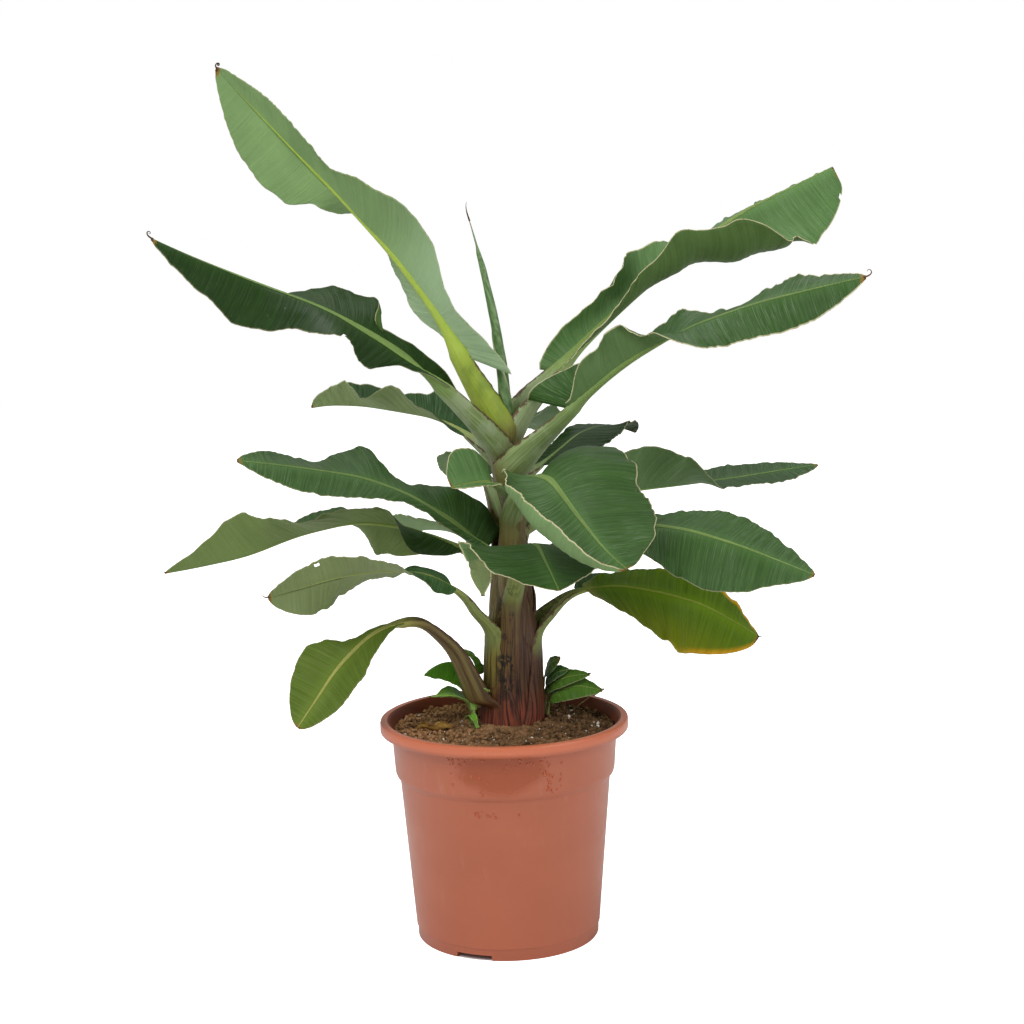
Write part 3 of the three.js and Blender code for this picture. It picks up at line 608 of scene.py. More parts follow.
# ---------------------------------------------------------------- material helpers
class Nodes:
    """Short calls that add nodes to a tree. Their values are numbers, colours, #rrggbb codes or sockets."""

    def __init__(self, tree):
        self.tree = tree

    def give(self, socket, value):
        if isinstance(value, bpy.types.NodeSocket):
            self.tree.links.new(value, socket)
        else:
            socket.default_value = srgb(value) if isinstance(value, str) else value

    def add(self, kind, settings=None, **inputs):
        """Adds a node and gives its outputs. Inputs go by socket name, with _ for a space."""
        node = self.tree.nodes.new("ShaderNode" + kind)
        for key, value in (settings or {}).items():
            setattr(node, key, value)
        for key, value in inputs.items():
            self.give(node.inputs[key.replace("_", " ")], value)
        return node.outputs

    def math(self, operation, *values):
        node = self.tree.nodes.new("ShaderNodeMath")
        node.operation = operation
        for socket, value in zip(node.inputs, values):
            self.give(socket, value)
        return node.outputs[0]

    def times(self, a, b):
        return self.math("MULTIPLY", a, b)

    def plus(self, a, b):
        return self.math("ADD", a, b)

    def minus(self, a, b):
        return self.math("SUBTRACT", a, b)

    def ragged(self, value, noise, reach, middle=0.5):
        """A value moved to and fro by noise."""
        return self.plus(value, self.times(self.minus(noise, middle), reach))

    def ramp(self, value, low, high, start=0.0, end=1.0):
        """Maps low..high of a value smoothly to start..end."""
        return self.add("MapRange", {"interpolation_type": "SMOOTHSTEP"},
                        Value=value, From_Min=low, From_Max=high, To_Min=start, To_Max=end)[0]

    def blend(self, factor, a, b):
        """Mixes two colours."""
        node = self.tree.nodes.new("ShaderNodeMix")
        node.data_type = "RGBA"
        for index, value in ((0, factor), (6, a), (7, b)):
            self.give(node.inputs[index], value)
        return node.outputs[2]

    def noise(self, place, scale, detail=3.0, roughness=0.55):
        """Noise whose grain has its own scale along each axis of place."""
        moved = self.add("Mapping", Vector=place, Scale=scale)[0]
        return self.add("TexNoise", Vector=moved, Scale=1.0, Detail=detail, Roughness=roughness)[0]

    def length(self, vector):
        return self.add("VectorMath", {"operation": "LENGTH"}, Vector=vector)["Value"]


class Skin(Nodes):
    """A new material. base is its colour so far, and each coat lays one more over it."""

    def __init__(self, name, **fixed):
        """fixed are inputs of the surface that are the same all over."""
        self.material = bpy.data.materials.new(name)
        self.material.use_nodes = True
        super().__init__(self.material.node_tree)
        self.surface = self.tree.nodes["Principled BSDF"]
        for key, value in fixed.items():
            self.surface.inputs[key.replace("_", " ")].default_value = value
        self.place = self.add("TexCoord")["Object"]
        self.x, self.y, self.z = self.add("SeparateXYZ", Vector=self.place)

    def uv(self, name):
        return self.add("UVMap", {"uv_map": name})[0]

    def attribute(self, name):
        return self.add("Attribute", {"attribute_name": name})["Fac"]

    def coat(self, factor, colour):
        self.base = self.blend(factor, self.base, colour)

    def link(self, name, value):
        self.give(self.surface.inputs[name], value)

    def finish(self, height=None, depth=0.0):
        """Connects the colour and the bumps."""
        self.link("Base Color", self.base)
        if height:
            self.link("Normal", self.add("Bump", Height=height, Distance=depth, Strength=1.0)[0])
        return self.material


def shade(colour, amount):
    """A lighter or darker copy of a colour."""
    return tuple(c * amount for c in colour[:3]) + (1.0,)


# ---------------------------------------------------------------- materials
def blade_material(name, side, leaf, settings):
    """Skin of a blade. The blade map holds metres along the rib and metres from it."""
    tone, tip_burn, edging = leaf.tone, leaf.tip_burn, leaf.edging
    upper, streak, under, _ = (srgb(code) for code in TONES[tone])
    skin = Skin(name, Specular_IOR_Level=0.14)
    ramp, noise, coat = skin.ramp, skin.noise, skin.coat
    uv, edge, reach = skin.uv("blade"), skin.attribute("margin"), skin.attribute("reach")
    from_rib = skin.add("SeparateXYZ", Vector=uv)["Y"]
    veins = noise(uv, (430, 9, 1), 3.5, 0.6)
    fine = noise(uv, (1300, 14, 1), 2.0)
    patches = noise(skin.place, (16, 16, 16))
    if side == "upper":
        skin.base = skin.blend(ramp(veins, 0.36, 0.70, 0.1, 0.85), upper, streak)
        coat(ramp(patches, 0.4, 0.75, 0.0, 0.5), streak)
        coat(ramp(fine, 0.52, 0.8, 0.0, 0.5), shade(streak, 1.7))
        coat(ramp(skin.math("ABSOLUTE", from_rib), 0.0, 0.014, 0.4, 0.0), shade(streak, 1.5))
        dusty = 0.08 if tone in CLEAN_TONES else 0.42
        dust = ramp(noise(uv, (1300, 34, 1), 3.0, 0.7), 0.48, 0.74, 0.0, dusty)
        coat(skin.times(dust, ramp(patches, 0.36, 0.6, 0.25, 1.0)), DUST)
        smoothest, roughest, depth = 0.36, 0.55, 0.0008
    else:
        bloom = shade(under, 1.3)
        skin.base = skin.blend(ramp(veins, 0.35, 0.7), shade(under, 0.88), under)
        coat(ramp(patches, 0.42, 0.8, 0.0, 0.6), bloom)
        coat(ramp(fine, 0.5, 0.85, 0.0, 0.35), bloom)
        if tone == "fresh":
            coat(ramp(reach, 0.08, 0.4, 0.6, 0.0), "#a6bf9c")
        smoothest, roughest, depth = 0.5, 0.68, 0.0009
    coat(ramp(noise(skin.place, (70, 70, 45), 4.0, 0.7), 0.7, 0.8, 0.0, 0.25), "#98a585")
    if tone == "yellow":
        coat(ramp(from_rib, 0.01, 0.05, 0.0, 0.5), "#7f8206")
        coat(skin.times(ramp(edge, 0.001, 0.008, 0.9, 0.0), ramp(reach, 0.3, 0.8)), "#cf9a14")
        coat(ramp(reach, 0.0, 0.07, 0.8, 0.0), "#8f8a4a")
    speckle = noise(uv, (420, 420, 1), 2.0)
    coat(ramp(edge, 0.0004, 0.0004 + 0.0008 * (0.5 + edging), edging, 0.0), settings.margin[:])
    coat(skin.times(ramp(edge, 0.0006, 0.0018, 0.8, 0.0), ramp(speckle, 0.60, 0.68)), "#6b4426")
    tip = skin.ragged(reach, speckle, 0.03)
    coat(ramp(tip, 1 - tip_burn, 1 - tip_burn * 0.6), "#8a6a2c")
    coat(ramp(tip, 1 - tip_burn * 0.5, 1 - tip_burn * 0.2), "#4a3320")
    skin.link("Roughness", ramp(patches, 0.3, 0.7, smoothest, roughest))
    return skin.finish(skin.plus(veins, skin.times(fine, 0.35)), depth)


def margin_material(settings):
    skin = Skin("dry margin", Roughness=0.7)
    spots = skin.noise(skin.place, (160, 160, 160))
    skin.base = skin.blend(skin.ramp(spots, 0.52, 0.66), settings.margin[:], "#8a6238")
    return skin.finish()


def stalk_material(name, tone, sheath, settings):
    """Skin of a sheath, stalk and midrib. The stalk map holds metres along it and metres round it,
    reach runs from -1 at the sheath's foot over 0 at the stalk's foot and 1 at the neck to 2."""
    skin = Skin(name, Specular_IOR_Level=0.3)
    ramp, noise, blend, times = skin.ramp, skin.noise, skin.blend, skin.times
    uv, place, height = skin.uv("stalk"), skin.place, skin.z
    reach, edge = skin.attribute("reach"), skin.attribute("wing")
    streaks = noise(uv, (14, 420, 1), 4.0, 0.6)
    broad = noise(uv, (9, 110, 1), 3.0, 0.6)
    patches = noise(place, (38, 38, 22), 4.0, 0.6)

    # the free stalk and the midrib
    if tone == "fresh":
        stalk = blend(ramp(patches, 0.35, 0.6), "#82983a", "#a2b444")
    elif tone == "old":
        stalk = blend(ramp(broad, 0.36, 0.6), "#4c3a22", "#77683c")
    else:
        stalk = blend(ramp(streaks, 0.35, 0.7), "#6f8448", "#9bad76")
        stalk = blend(ramp(height, 0.34, 0.42, 0.6, 0.0), stalk, "#7e8440")
        bloom = times(ramp(patches, 0.42, 0.62, 0.0, 0.75), ramp(height, 0.40, 0.46))
        stalk = blend(bloom, stalk, "#a3b28a")
    stalk = blend(ramp(reach, 0.75, 1.15), stalk, TONES[tone][3])

    # the sheath: red at the soil, then olive on the left and maroon on the right, green at the top
    skin.base = blend(ramp(height, 0.300, 0.420), settings.middle_colour[:], settings.top_colour[:])
    skin.base = blend(ramp(height, 0.212, 0.262), settings.foot_colour[:], skin.base)
    skin.coat(ramp(height, 0.225, 0.285, 0.0, 0.7), SHEATHS[sheath])
    across = skin.ragged(skin.x, patches, 0.03)
    lower = times(ramp(height, 0.33, 0.39, 0.75, 0.0), ramp(height, 0.225, 0.265))
    skin.coat(times(ramp(across, -0.012, 0.002, 1.0, 0.0), lower), "#868040")
    skin.coat(times(ramp(across, 0.004, 0.018), lower), "#583a2a")
    skin.coat(times(ramp(streaks, 0.44, 0.58), ramp(height, 0.24, 0.40, 0.9, 0.25)), "#2e1916")
    skin.coat(times(ramp(broad, 0.52, 0.7), ramp(height, 0.23, 0.36, 0.15, 0.6)), "#8f8f4c")
    skin.coat(ramp(reach, -0.12, 0.25), stalk)

    # dark blotches low on the front, and dry brown edges
    blots = ramp(noise(place, (210, 210, 120), 3.0, 0.7), 0.47, 0.53)
    cloud = ramp(noise(place, (42, 42, 26), 2.0), 0.42, 0.52)
    zone = times(ramp(height, 0.222, 0.25), ramp(height, 0.325, 0.36, 1.0, 0.0))
    front = times(zone, ramp(skin.y, -0.012, 0.004, 1.0, 0.35))
    off_middle = skin.math("ABSOLUTE", skin.minus(skin.x, 0.006))
    front = times(front, ramp(off_middle, 0.006, 0.017, 1.0, 0.0))
    skin.coat(times(blots, times(front, cloud)), "#15100c")
    wing = skin.ragged(edge, noise(place, (190, 190, 150), 4.0, 0.7), 0.016, 0.52)
    skin.coat(times(ramp(wing, 0.0008, 0.0034, 0.9, 0.0), ramp(reach, 0.8, 1.05, 1.0, 0.0)), "#5b3a2c")
    skin.link("Roughness", ramp(patches, 0.3, 0.7, 0.38, 0.6))
    return skin.finish(skin.plus(streaks, broad), 0.0008)


def dry_material(name, dark, light):
    """Rough dead plant stuff."""
    skin = Skin(name, Roughness=0.85, Specular_IOR_Level=0.2)
    grain = skin.noise(skin.place, (90, 90, 180), 4.0)
    skin.base = skin.blend(skin.ramp(grain, 0.35, 0.65), dark, light)
    return skin.finish(grain, 0.0006)


def rolled_material():
    """The newest leaf: its underside is rolled outward with a pale edge winding up."""
    skin = Skin("rolled leaf", Roughness=0.45)
    uv = skin.uv("roll")
    along, around, _ = skin.add("SeparateXYZ", Vector=uv)
    streaks = skin.noise(uv, (30, 9, 1))
    skin.base = skin.blend(skin.ramp(streaks, 0.35, 0.7), "#4d6f3a", "#7c9a66")
    skin.coat(skin.ramp(around, 0.0, 0.09, 1.0, 0.0), "#b9c39a")
    skin.coat(skin.ramp(along, 0.93, 1.0), "#7a5a30")
    return skin.finish(streaks, 0.0005)


def pot_material(settings):
    """Satin moulded plastic with a damp patch, faint haze, a rim lightened with painted light, and an inner
    wall darkened with painted shade and made less glossy.
    """
    skin = Skin("terracotta plastic", Coat_Roughness=0.25)
    ramp, noise, times, place = skin.ramp, skin.noise, skin.times, skin.place
    colour = settings.colour[:]
    mottle = noise(place, (14, 14, 20), 4.0)
    skin.base = skin.blend(ramp(mottle, 0.3, 0.75, 0.0, 0.35), colour, shade(colour, 0.86))

    # the damp patch on the front of the collar
    across = skin.math("DIVIDE", skin.plus(skin.x, 0.002), 0.040)
    up = skin.math("DIVIDE", skin.minus(skin.z, 0.190), 0.026)
    oval = skin.plus(skin.math("POWER", across, 2.0), skin.math("POWER", up, 2.0))
    oval = skin.ragged(oval, mottle, 1.6)
    damp = times(ramp(oval, 0.55, 1.25, 1.0, 0.0), ramp(skin.y, -0.07, -0.05, 1.0, 0.0))
    skin.coat(damp, settings.wet_colour[:])

    # the rim lightened with painted light, and the inner wall above the compost darkened with painted shade
    # painted light: the top band of the rim is lightened as if it caught more light
    skin.coat(ramp(skin.z, 0.204, 0.209), shade(colour, 1.3))
    radius = skin.length(skin.add("CombineXYZ", X=skin.x, Y=skin.y)[0])
    wall_radius = ramp(skin.z, 0.2010, 0.2040, 0.1077, 0.1132)
    inside = ramp(skin.minus(radius, wall_radius), -0.0003, 0.0003, 1.0, 0.0)
    inside = times(inside, ramp(skin.z, 0.190, 0.193))
    # painted shade: the inner wall above the compost is darkened like a recess in shade
    skin.coat(inside, shade(colour, 0.42))
    skin.link("Specular IOR Level", ramp(inside, 0.0, 1.0, 0.5, 0.1))
    skin.link("Coat Weight", ramp(inside, 0.0, 1.0, 0.25, 0.0))

    # haze, scratches, grain and faint rings
    skin.coat(times(ramp(noise(place, (55, 55, 14), 5.0, 0.7), 0.58, 0.8), 0.16), "#c9a090")
    skin.coat(ramp(noise(place, (60, 60, 900), 2.0), 0.78, 0.84, 0.0, 0.3), "#d8b3a4")
    gloss = ramp(mottle, 0.3, 0.7, 0.34, 0.46)
    skin.link("Roughness", skin.minus(gloss, times(damp, 0.18)))
    grain = noise(place, (900, 900, 900), 2.0)
    rings = noise(place, (6, 6, 260), 2.0)
    return skin.finish(skin.plus(times(grain, 0.3), rings), 0.00012)


def soil_material(name, settings):
    """Dark crumbly compost, paler on the left with painted light and darker on the right with painted shade.
    """
    skin = Skin(name, Roughness=0.95, Specular_IOR_Level=0.15)
    colour = settings.colour[:]
    lumps = skin.noise(skin.place, (170, 170, 170), 5.0, 0.65)
    areas = skin.noise(skin.place, (24, 24, 24))
    skin.base = skin.blend(skin.ramp(lumps, 0.36, 0.66), shade(colour, 0.3), shade(colour, 1.1))
    skin.coat(skin.ramp(areas, 0.42, 0.7, 0.0, 0.5), shade(colour, 1.7))
    # painted light and painted shade: the compost gets lighter toward the left and darker toward the right
    painted_light_left_shade_right = skin.ramp(skin.x, -0.09, 0.03, 1.8, 0.72)
    skin.base = skin.add("VectorMath", {"operation": "SCALE"}, Vector=skin.base, Scale=painted_light_left_shade_right)[0]
    return skin.finish(lumps, 0.002)


def perlite_material():
    skin = Skin("perlite", Roughness=0.8)
    grain = skin.noise(skin.place, (400, 400, 400))
    skin.base = skin.blend(skin.ramp(grain, 0.3, 0.7), "#b9ad98", "#f4f1ea")
    return skin.finish()


def plain_material(name, colour, roughness, specular):
    return Skin(name, Base_Color=colour, Roughness=roughness, Specular_IOR_Level=specular).material


def floor_material(settings):
    """A white floor that stays pure white to the eye, except under the pot."""
    skin = Skin("floor", Base_Color=settings.floor_colour[:], Roughness=0.9, Specular_IOR_Level=0.1,
                Emission_Color=(1, 1, 1, 1))
    shadow_radius = 0.087
    seen = skin.add("LightPath")["Is Camera Ray"]
    open_floor = skin.math("GREATER_THAN", skin.length(skin.place), shadow_radius)
    skin.link("Emission Strength", skin.times(seen, open_floor))
    return skin.material


# ---------------------------------------------------------------- leaves
def make_blade(leaf, name, nodes, settings, rows, half):
    """The blade of a leaf as one thin piece, with half columns of faces on each side of the rib."""
    bm, places, margin, reach = grid_mesh(rows, 2 * half, "blade", "margin", "reach")
    length = leaf.blade_length() * MM
    cuts = {}
    columns = {}
    for v, (row, column) in places.items():
        j = round(column * 2 * half) - half
        side = "L" if j < 0 else "R"
        if (side, row) not in columns:
            columns[side, row] = leaf.columns(side, row, half)
        d = columns[side, row][abs(j)]
        v.co = leaf.blade_point(row, side, d, settings.frill / MM)
        v[margin] = (columns[side, row][-1] - d) * MM
        v[reach] = row
        cuts[v] = (row, side, abs(j) / half, (d if j > 0 else -d) * MM)
    lay_uv(bm, "blade", {v: (row * length, across) for v, (row, _, _, across) in cuts.items()})
    bmesh.ops.delete(bm, geom=torn_faces(bm, cuts, leaf), context="FACES")
    bmesh.ops.recalc_face_normals(bm, faces=bm.faces)
    # the faces by the rib look up, so that the first skin is on the upper side
    if sum((f.normal.z for f in bm.faces if cuts[f.verts[0]][2] < 0.2), 0.0) < 0:
        bmesh.ops.reverse_faces(bm, faces=bm.faces)
    upper = blade_material(name + " upper", "upper", leaf, settings)
    under = blade_material(name + " underside", "under", leaf, settings)
    rim = bpy.data.materials["dry margin"] if leaf.edging > 0.5 else upper
    piece = finish_piece(bm, name, (upper, under, rim), nodes)
    shell = piece.modifiers.new("Thickness", "SOLIDIFY")
    shell.thickness = settings.thickness
    shell.offset = -1
    shell.material_offset = 1
    shell.material_offset_rim = 2
    return piece


def torn_faces(bm, cuts, leaf):
    """Faces of the slits that run in from a margin, and of a small hole."""
    gone = []
    least = 0.5 / len(cuts) ** 0.5
    hole_length, hole_width, blade_width = 3.2, 2.4, 40
    for face in bm.faces:
        row = sum(cuts[v][0] for v in face.verts) / len(face.verts)
        share = sum(cuts[v][2] for v in face.verts) / len(face.verts)
        side = cuts[face.verts[0]][1] if cuts[face.verts[0]][2] else cuts[face.verts[2]][1]
        for tear_side, at, depth, width in leaf.tears:
            gap = width / leaf.blade_length() * smooth(share, depth, 1)
            if side == tear_side and share > depth and abs(row - at) < max(gap, least):
                gone.append(face)
        if leaf.hole:
            hole_side, at, out = leaf.hole
            along = (row - at) * leaf.blade_length() / hole_length
            across = (share - out) * blade_width / hole_width
            if side == hole_side and along ** 2 + across ** 2 < 1:
                gone.append(face)
    return list(set(gone))


def make_thread(leaf, name):
    """The dried brown thread that a rolled blade leaves at its tip."""
    length, turns = leaf.thread
    point, along, right, upper = leaf.frame(1.0)
    points, radii, angle = [point - along * 2], [0.9], 0.0
    steps = 26
    for i in range(steps):
        t = (i + 1) / steps
        angle = turns * 2 * math.pi * t * t
        ahead = along * math.cos(angle) + (upper * 0.8 + right * 0.5).normalized() * math.sin(angle)
        points.append(points[-1] + ahead * (length / steps) * (1 - 0.55 * t))
        radii.append(0.75 * (1 - t) + 0.12)
    bm = bmesh.new()
    add_tube(bm, points, radii, 6)
    return finish_piece(bm, name, (bpy.data.materials["dry thread"],))


def make_stalk(leaf, name, nodes, others, settings, material, around=20, sheath_rows=26):
    """Sheath, stalk and midrib as one closed tapering piece."""
    drop = min(settings.sheath_drop / MM, leaf.foot[2] - SHEATH_FOOT_Z) if others else 0
    stalk_rows = max(10, round(leaf.length * leaf.stalk / 3))
    rib_rows = max(12, round(leaf.blade_length() / 5))
    first = sheath_rows if others else 0
    rows = first + stalk_rows + rib_rows
    bm, places, wing, reach = grid_mesh(rows, 2 * around, "stalk", "wing", "reach")
    uv = {}
    for v, (row, column) in places.items():
        i = round(row * rows) - first
        inner = 0.5 < column < 0.999
        phi = 3 - 4 * column if column > 0.5 else 4 * column - 1
        girth = leaf.root * 1.9
        if i >= 0:
            if i <= stalk_rows:
                f, v[reach] = leaf.stalk * i / stalk_rows, i / stalk_rows
            else:
                along_rib = (i - stalk_rows) / rib_rows
                f, v[reach] = lerp(leaf.stalk, 1, along_rib), 1 + along_rib
            v.co = stalk_section(leaf, f, phi, inner)
            above = leaf.at(f).z - leaf.foot[2]
            if leaf.hug and above < leaf.hug and f < leaf.stalk * 0.7:
                held = sheath_section(leaf, others, leaf.at(f).z, phi, inner)
                v.co = v.co.lerp(held, 1 - smooth(above, 0, leaf.hug))
            along = f * leaf.length
        else:
            down = drop * (-i / sheath_rows)
            z = leaf.foot[2] - down
            stem_here, _ = stem_at(z)
            stem_foot, _ = stem_at(leaf.foot[2])
            free = stalk_section(leaf, 0, phi, inner) + (stem_here - stem_foot)
            held = sheath_section(leaf, others, z, phi, inner)
            wrapped = smooth(down, 4, 62)
            v.co = held if leaf.hug else free.lerp(held, wrapped)
            v[reach] = i / sheath_rows
            along, girth = -down, girth + 12 * wrapped
        v[wing] = (1 - abs(phi)) * girth * MM
        uv[v] = (along * MM, (phi * girth + (40 if column > 0.5 else 0)) * MM)
    lay_uv(bm, "stalk", uv)
    close_tube(bm)
    return finish_piece(bm, name, (material,), nodes)


class BANANA_OT_leaves(bpy.types.Operator):
    """Makes every leaf: its blade, and its midrib with stalk and sheath"""
    bl_idname = "banana.leaves"
    bl_label = "Leaves"

    def execute(self, context):
        settings, stem = context.scene.banana_leaf, context.scene.banana_stem
        leaves = [Leaf(name, **shape) for name, shape in LEAVES.items()]
        skins = {}
        for leaf in leaves:
            kind = (leaf.tone, leaf.sheath)
            if kind not in skins:
                skins[kind] = stalk_material("stalk " + " ".join(kind), *kind, stem)
            make_blade(leaf, "blade_" + leaf.name, ("leaf_" + leaf.name,), settings,
                       settings.rows, settings.half_columns)
            make_stalk(leaf, "petiole_" + leaf.name, ("stalk_" + leaf.name,), leaves, stem,
                       skins[kind])
            if leaf.thread:
                make_thread(leaf, "thread_" + leaf.name)
        flap = Leaf("front_low_fold", **FOLDED_FLAP)
        make_blade(flap, "blade_front_low_fold", (), settings, 30, 8)
        return {"FINISHED"}


class BANANA_OT_shoots(bpy.types.Operator):
    """Makes the young shoots round the foot of the stem"""
    bl_idname = "banana.shoots"
    bl_label = "Young Shoots"

    def execute(self, context):
        settings, stem = context.scene.banana_leaf, context.scene.banana_stem
        for name, shape in SHOOT_LEAVES.items():
            shape = dict(shape)
            width, (lift_left, lift_right) = shape.pop("width"), shape.pop("lift")
            leaf = Leaf("shoot_" + name, widthL=width, widthR=width, liftL=lift_left, liftR=lift_right,
                        root=3.4, neck=1.5, base=0.3, blunt=0.7, **shape)
            nodes = SHOOT_NODES.get(name, ())
            make_blade(leaf, "shoot_blade_" + name, nodes[:1], settings, 60, 10)
            skin = stalk_material("shoot stalk " + name, leaf.tone, "green", stem)
            make_stalk(leaf, "shoot_stalk_" + name, nodes[1:], (), stem, skin, around=10)
            if leaf.thread:
                make_thread(leaf, "shoot_thread_" + name)
        return {"FINISHED"}


class BANANA_OT_stem(bpy.types.Operator):
    """Makes the core of the stem that the sheaths wrap"""
    bl_idname = "banana.stem"
    bl_label = "Stem"

    def execute(self, context):
        settings = context.scene.banana_stem
        core = 4.4
        bm, places, wing, reach = grid_mesh(90, 48, "stalk", "wing", "reach")
        uv = {}
        low, high = STEM[0][2] + 2, STEM[-1][2] - 4
        for v, (row, column) in places.items():
            z = lerp(low, high, row)
            centre, radius = stem_at(z)
            angle = column * 2 * math.pi
            radius = (radius - core) * (1 + 0.02 * rough(math.cos(angle) * 3, math.sin(angle) * 3, z * 0.02))
            v.co = centre + Vector((math.cos(angle), math.sin(angle), 0)) * radius
            v[wing], v[reach] = 0.02, -1.0
            uv[v] = (z * MM, angle * radius * MM)
        lay_uv(bm, "stalk", uv)
        close_tube(bm)
        skin = stalk_material("stem core", "mid", "brown", settings)
        finish_piece(bm, "stem_core", (skin,), ("stem",))
        return {"FINISHED"}


class BANANA_OT_rolled_leaf(bpy.types.Operator):
    """Makes the newest leaf, still rolled up"""
    bl_idname = "banana.rolled_leaf"
    bl_label = "Rolled Leaf"

    def execute(self, context):
        rows, around, turns, overlap = 150, 40, 2.6, 0.16
        path = [Vector(p[:3]) for p in ROLLED_LEAF]
        radii = [p[3] for p in ROLLED_LEAF]
        bm, places = grid_mesh(rows, around, "roll")
        uv = {}
        for v, (row, column) in places.items():
            centre = catmull(path, row)
            ahead = (catmull(path, row + 0.01) - catmull(path, row - 0.01)).normalized()
            side = ahead.cross(Vector((0, 1, 0))).normalized()
            depth = side.cross(ahead)
            angle = 2 * math.pi * (column + turns * row * (1 - 0.35 * row)) + 0.6
            lip = 1 + overlap * (1 - smooth(column, 0.0, 0.9)) - overlap * 0.5
            radius = station(radii, row) * (lip if 0 < column < 1 else 1 - overlap * 0.5)
            v.co = centre + (side * math.cos(angle) + depth * math.sin(angle)) * radius
            uv[v] = (row, column)
        lay_uv(bm, "roll", uv)
        close_tube(bm)
        finish_piece(bm, "rolled_blade", (rolled_material(),), ("rolled_leaf",))
        tip = Leaf("spear", path=[(-15, 14, 668), (-19, 14, 680), (-23, 14, 692)], thread=(26, 0.12))
        make_thread(tip, "thread_rolled_leaf")
        return {"FINISHED"}


# ---------------------------------------------------------------- pot and soil
def pot_profile(settings):
    """Half section of the pot, as (radius, height), from the middle of the base out, up and back in."""
    top, rim, wall = settings.height / MM, settings.rim_radius / MM, settings.wall / MM
    foot, collar, ring, step = 89.5, 109, 11, 163
    return [
        (0, 0), (30, 0), (30.6, ring - 0.4), (31, ring),
        (foot - 9, ring), (foot - 8.2, ring - 1), (foot - 7.5, 0), (foot - 1.8, 0),
        (foot - 1.2, 0.8), (foot - 1.0, ring - 0.6), (foot - 0.6, ring + 0.2),
        (foot + 0.3, ring + 1.2), (foot + 0.35, ring + 2.6),
        (101.8, step - 5.8), (102.3, step - 4.4), (103.6, step - 3.2), (105.2, step - 1.2),
        (106.2, step + 1.6), (106.5, step + 4), (collar - 0.2, top - 14), (collar + 0.3, top - 13),
        (rim - 2.4, top - 11.4), (rim - 0.8, top - 11), (rim, top - 10),
        (rim + 0.1, top - 2.6), (rim - 0.5, top - 0.9), (rim - 2, top),
        (rim - 7.0, top - 0.3), (rim - 8.4, top - 1.1), (rim - 9.4, top - 3.4),
        (collar - wall, top - 14), (106.5 - wall, step + 2), (102.3 - wall, step - 5),
        (foot + 0.3 - wall, ring + 5), (foot - wall - 2, ring + 3), (0, ring + 2.8),
    ]


def raise_notches(bm, count, width, height, first):
    """Cuts the drainage notches into the foot ring."""
    for k in range(count):
        middle = math.radians(first + 360 / count * k)
        out = Vector((math.cos(middle), math.sin(middle), 0))
        across = Vector((-out.y, out.x, 0))
        for offset in (-width / 2, -width / 2 + 0.5, width / 2 - 0.5, width / 2):
            middles = {f: f.calc_center_median() for f in bm.faces}
            ring = [f for f, at in middles.items() if at.dot(out) > 70 and at.z < 15]
            parts = set(ring) | {e for f in ring for e in f.edges} | {v for f in ring for v in f.verts}
            bmesh.ops.bisect_plane(bm, geom=list(parts), plane_co=across * offset, plane_no=across,
                                   dist=0.001)
        for v in bm.verts:
            low = v.co.z < 1.5 and v.co.dot(out) > 70 and v.co.xy.length > 75
            if low and abs(v.co.dot(across)) < width / 2 - 0.4:
                v.co.z = height


class BANANA_OT_pot(bpy.types.Operator):
    """Makes the round nursery pot and the water drops on its collar"""
    bl_idname = "banana.pot"
    bl_label = "Pot"

    def execute(self, context):
        settings = context.scene.banana_pot
        bm = bmesh.new()
        profile = [bm.verts.new((r, 0, z)) for r, z in pot_profile(settings)]
        edges = [bm.edges.new(pair) for pair in zip(profile, profile[1:])]
        bmesh.ops.spin(bm, geom=profile + edges, cent=(0, 0, 0), axis=(0, 0, 1), angle=2 * math.pi,
                       steps=160, use_merge=True)
        bmesh.ops.remove_doubles(bm, verts=bm.verts, dist=0.01)
        raise_notches(bm, count=3, width=36, height=5.2, first=248)
        bmesh.ops.recalc_face_normals(bm, faces=bm.faces)
        piece = finish_piece(bm, "nursery_pot", (pot_material(settings),), ("pot",))
        piece.data.set_sharp_from_angle(angle=math.radians(38))
        self.add_drops(settings)
        return {"FINISHED"}

    def add_drops(self, settings):
        """Small flat drops in groups: angle from the front, height, spread in both, and size."""
        draw = random.Random(11)
        groups = [(-25, 198, 7, 9, 1.0), (9, 196, 8, 8, 1.0), (-10, 178, 12, 9, 0.8),
                  (21, 184, 2.2, 16, 1.1), (-9, 146, 14, 7, 0.5), (26, 178, 9, 16, 0.7)]
        bm = bmesh.new()
        for _ in range(settings.drops):
            angle, z, spread, tall, share = draw.choice(groups)
            angle = math.radians(270 + angle + draw.gauss(0, spread * 0.6))
            z = min(z + draw.gauss(0, tall * 0.6), 201)
            size = draw.uniform(0.5, 1.5) * (0.7 + 0.6 * share) * 0.8
            if z > 162:                              # on the collar
                radius = lerp(106.5, 108.9, (z - 161) / 41)
            elif z < 150:                            # on the wall below the step
                radius = lerp(89.85, 101.8, (z - 10.6) / 140.6)
            else:
                continue
            out = Vector((math.cos(angle), math.sin(angle), 0))
            place = Matrix.Translation(out * radius + Vector((0, 0, z))) @ Matrix.Rotation(angle, 4, "Z")
            flat = Matrix.Diagonal((0.36, 1.0, draw.uniform(1.0, 1.6), 1))
            bmesh.ops.create_icosphere(bm, subdivisions=2, radius=size, matrix=place @ flat)
        water = plain_material("water", shade(settings.wet_colour, 1.25), 0.06, 0.7)
        finish_piece(bm, "water_drops", (water,))


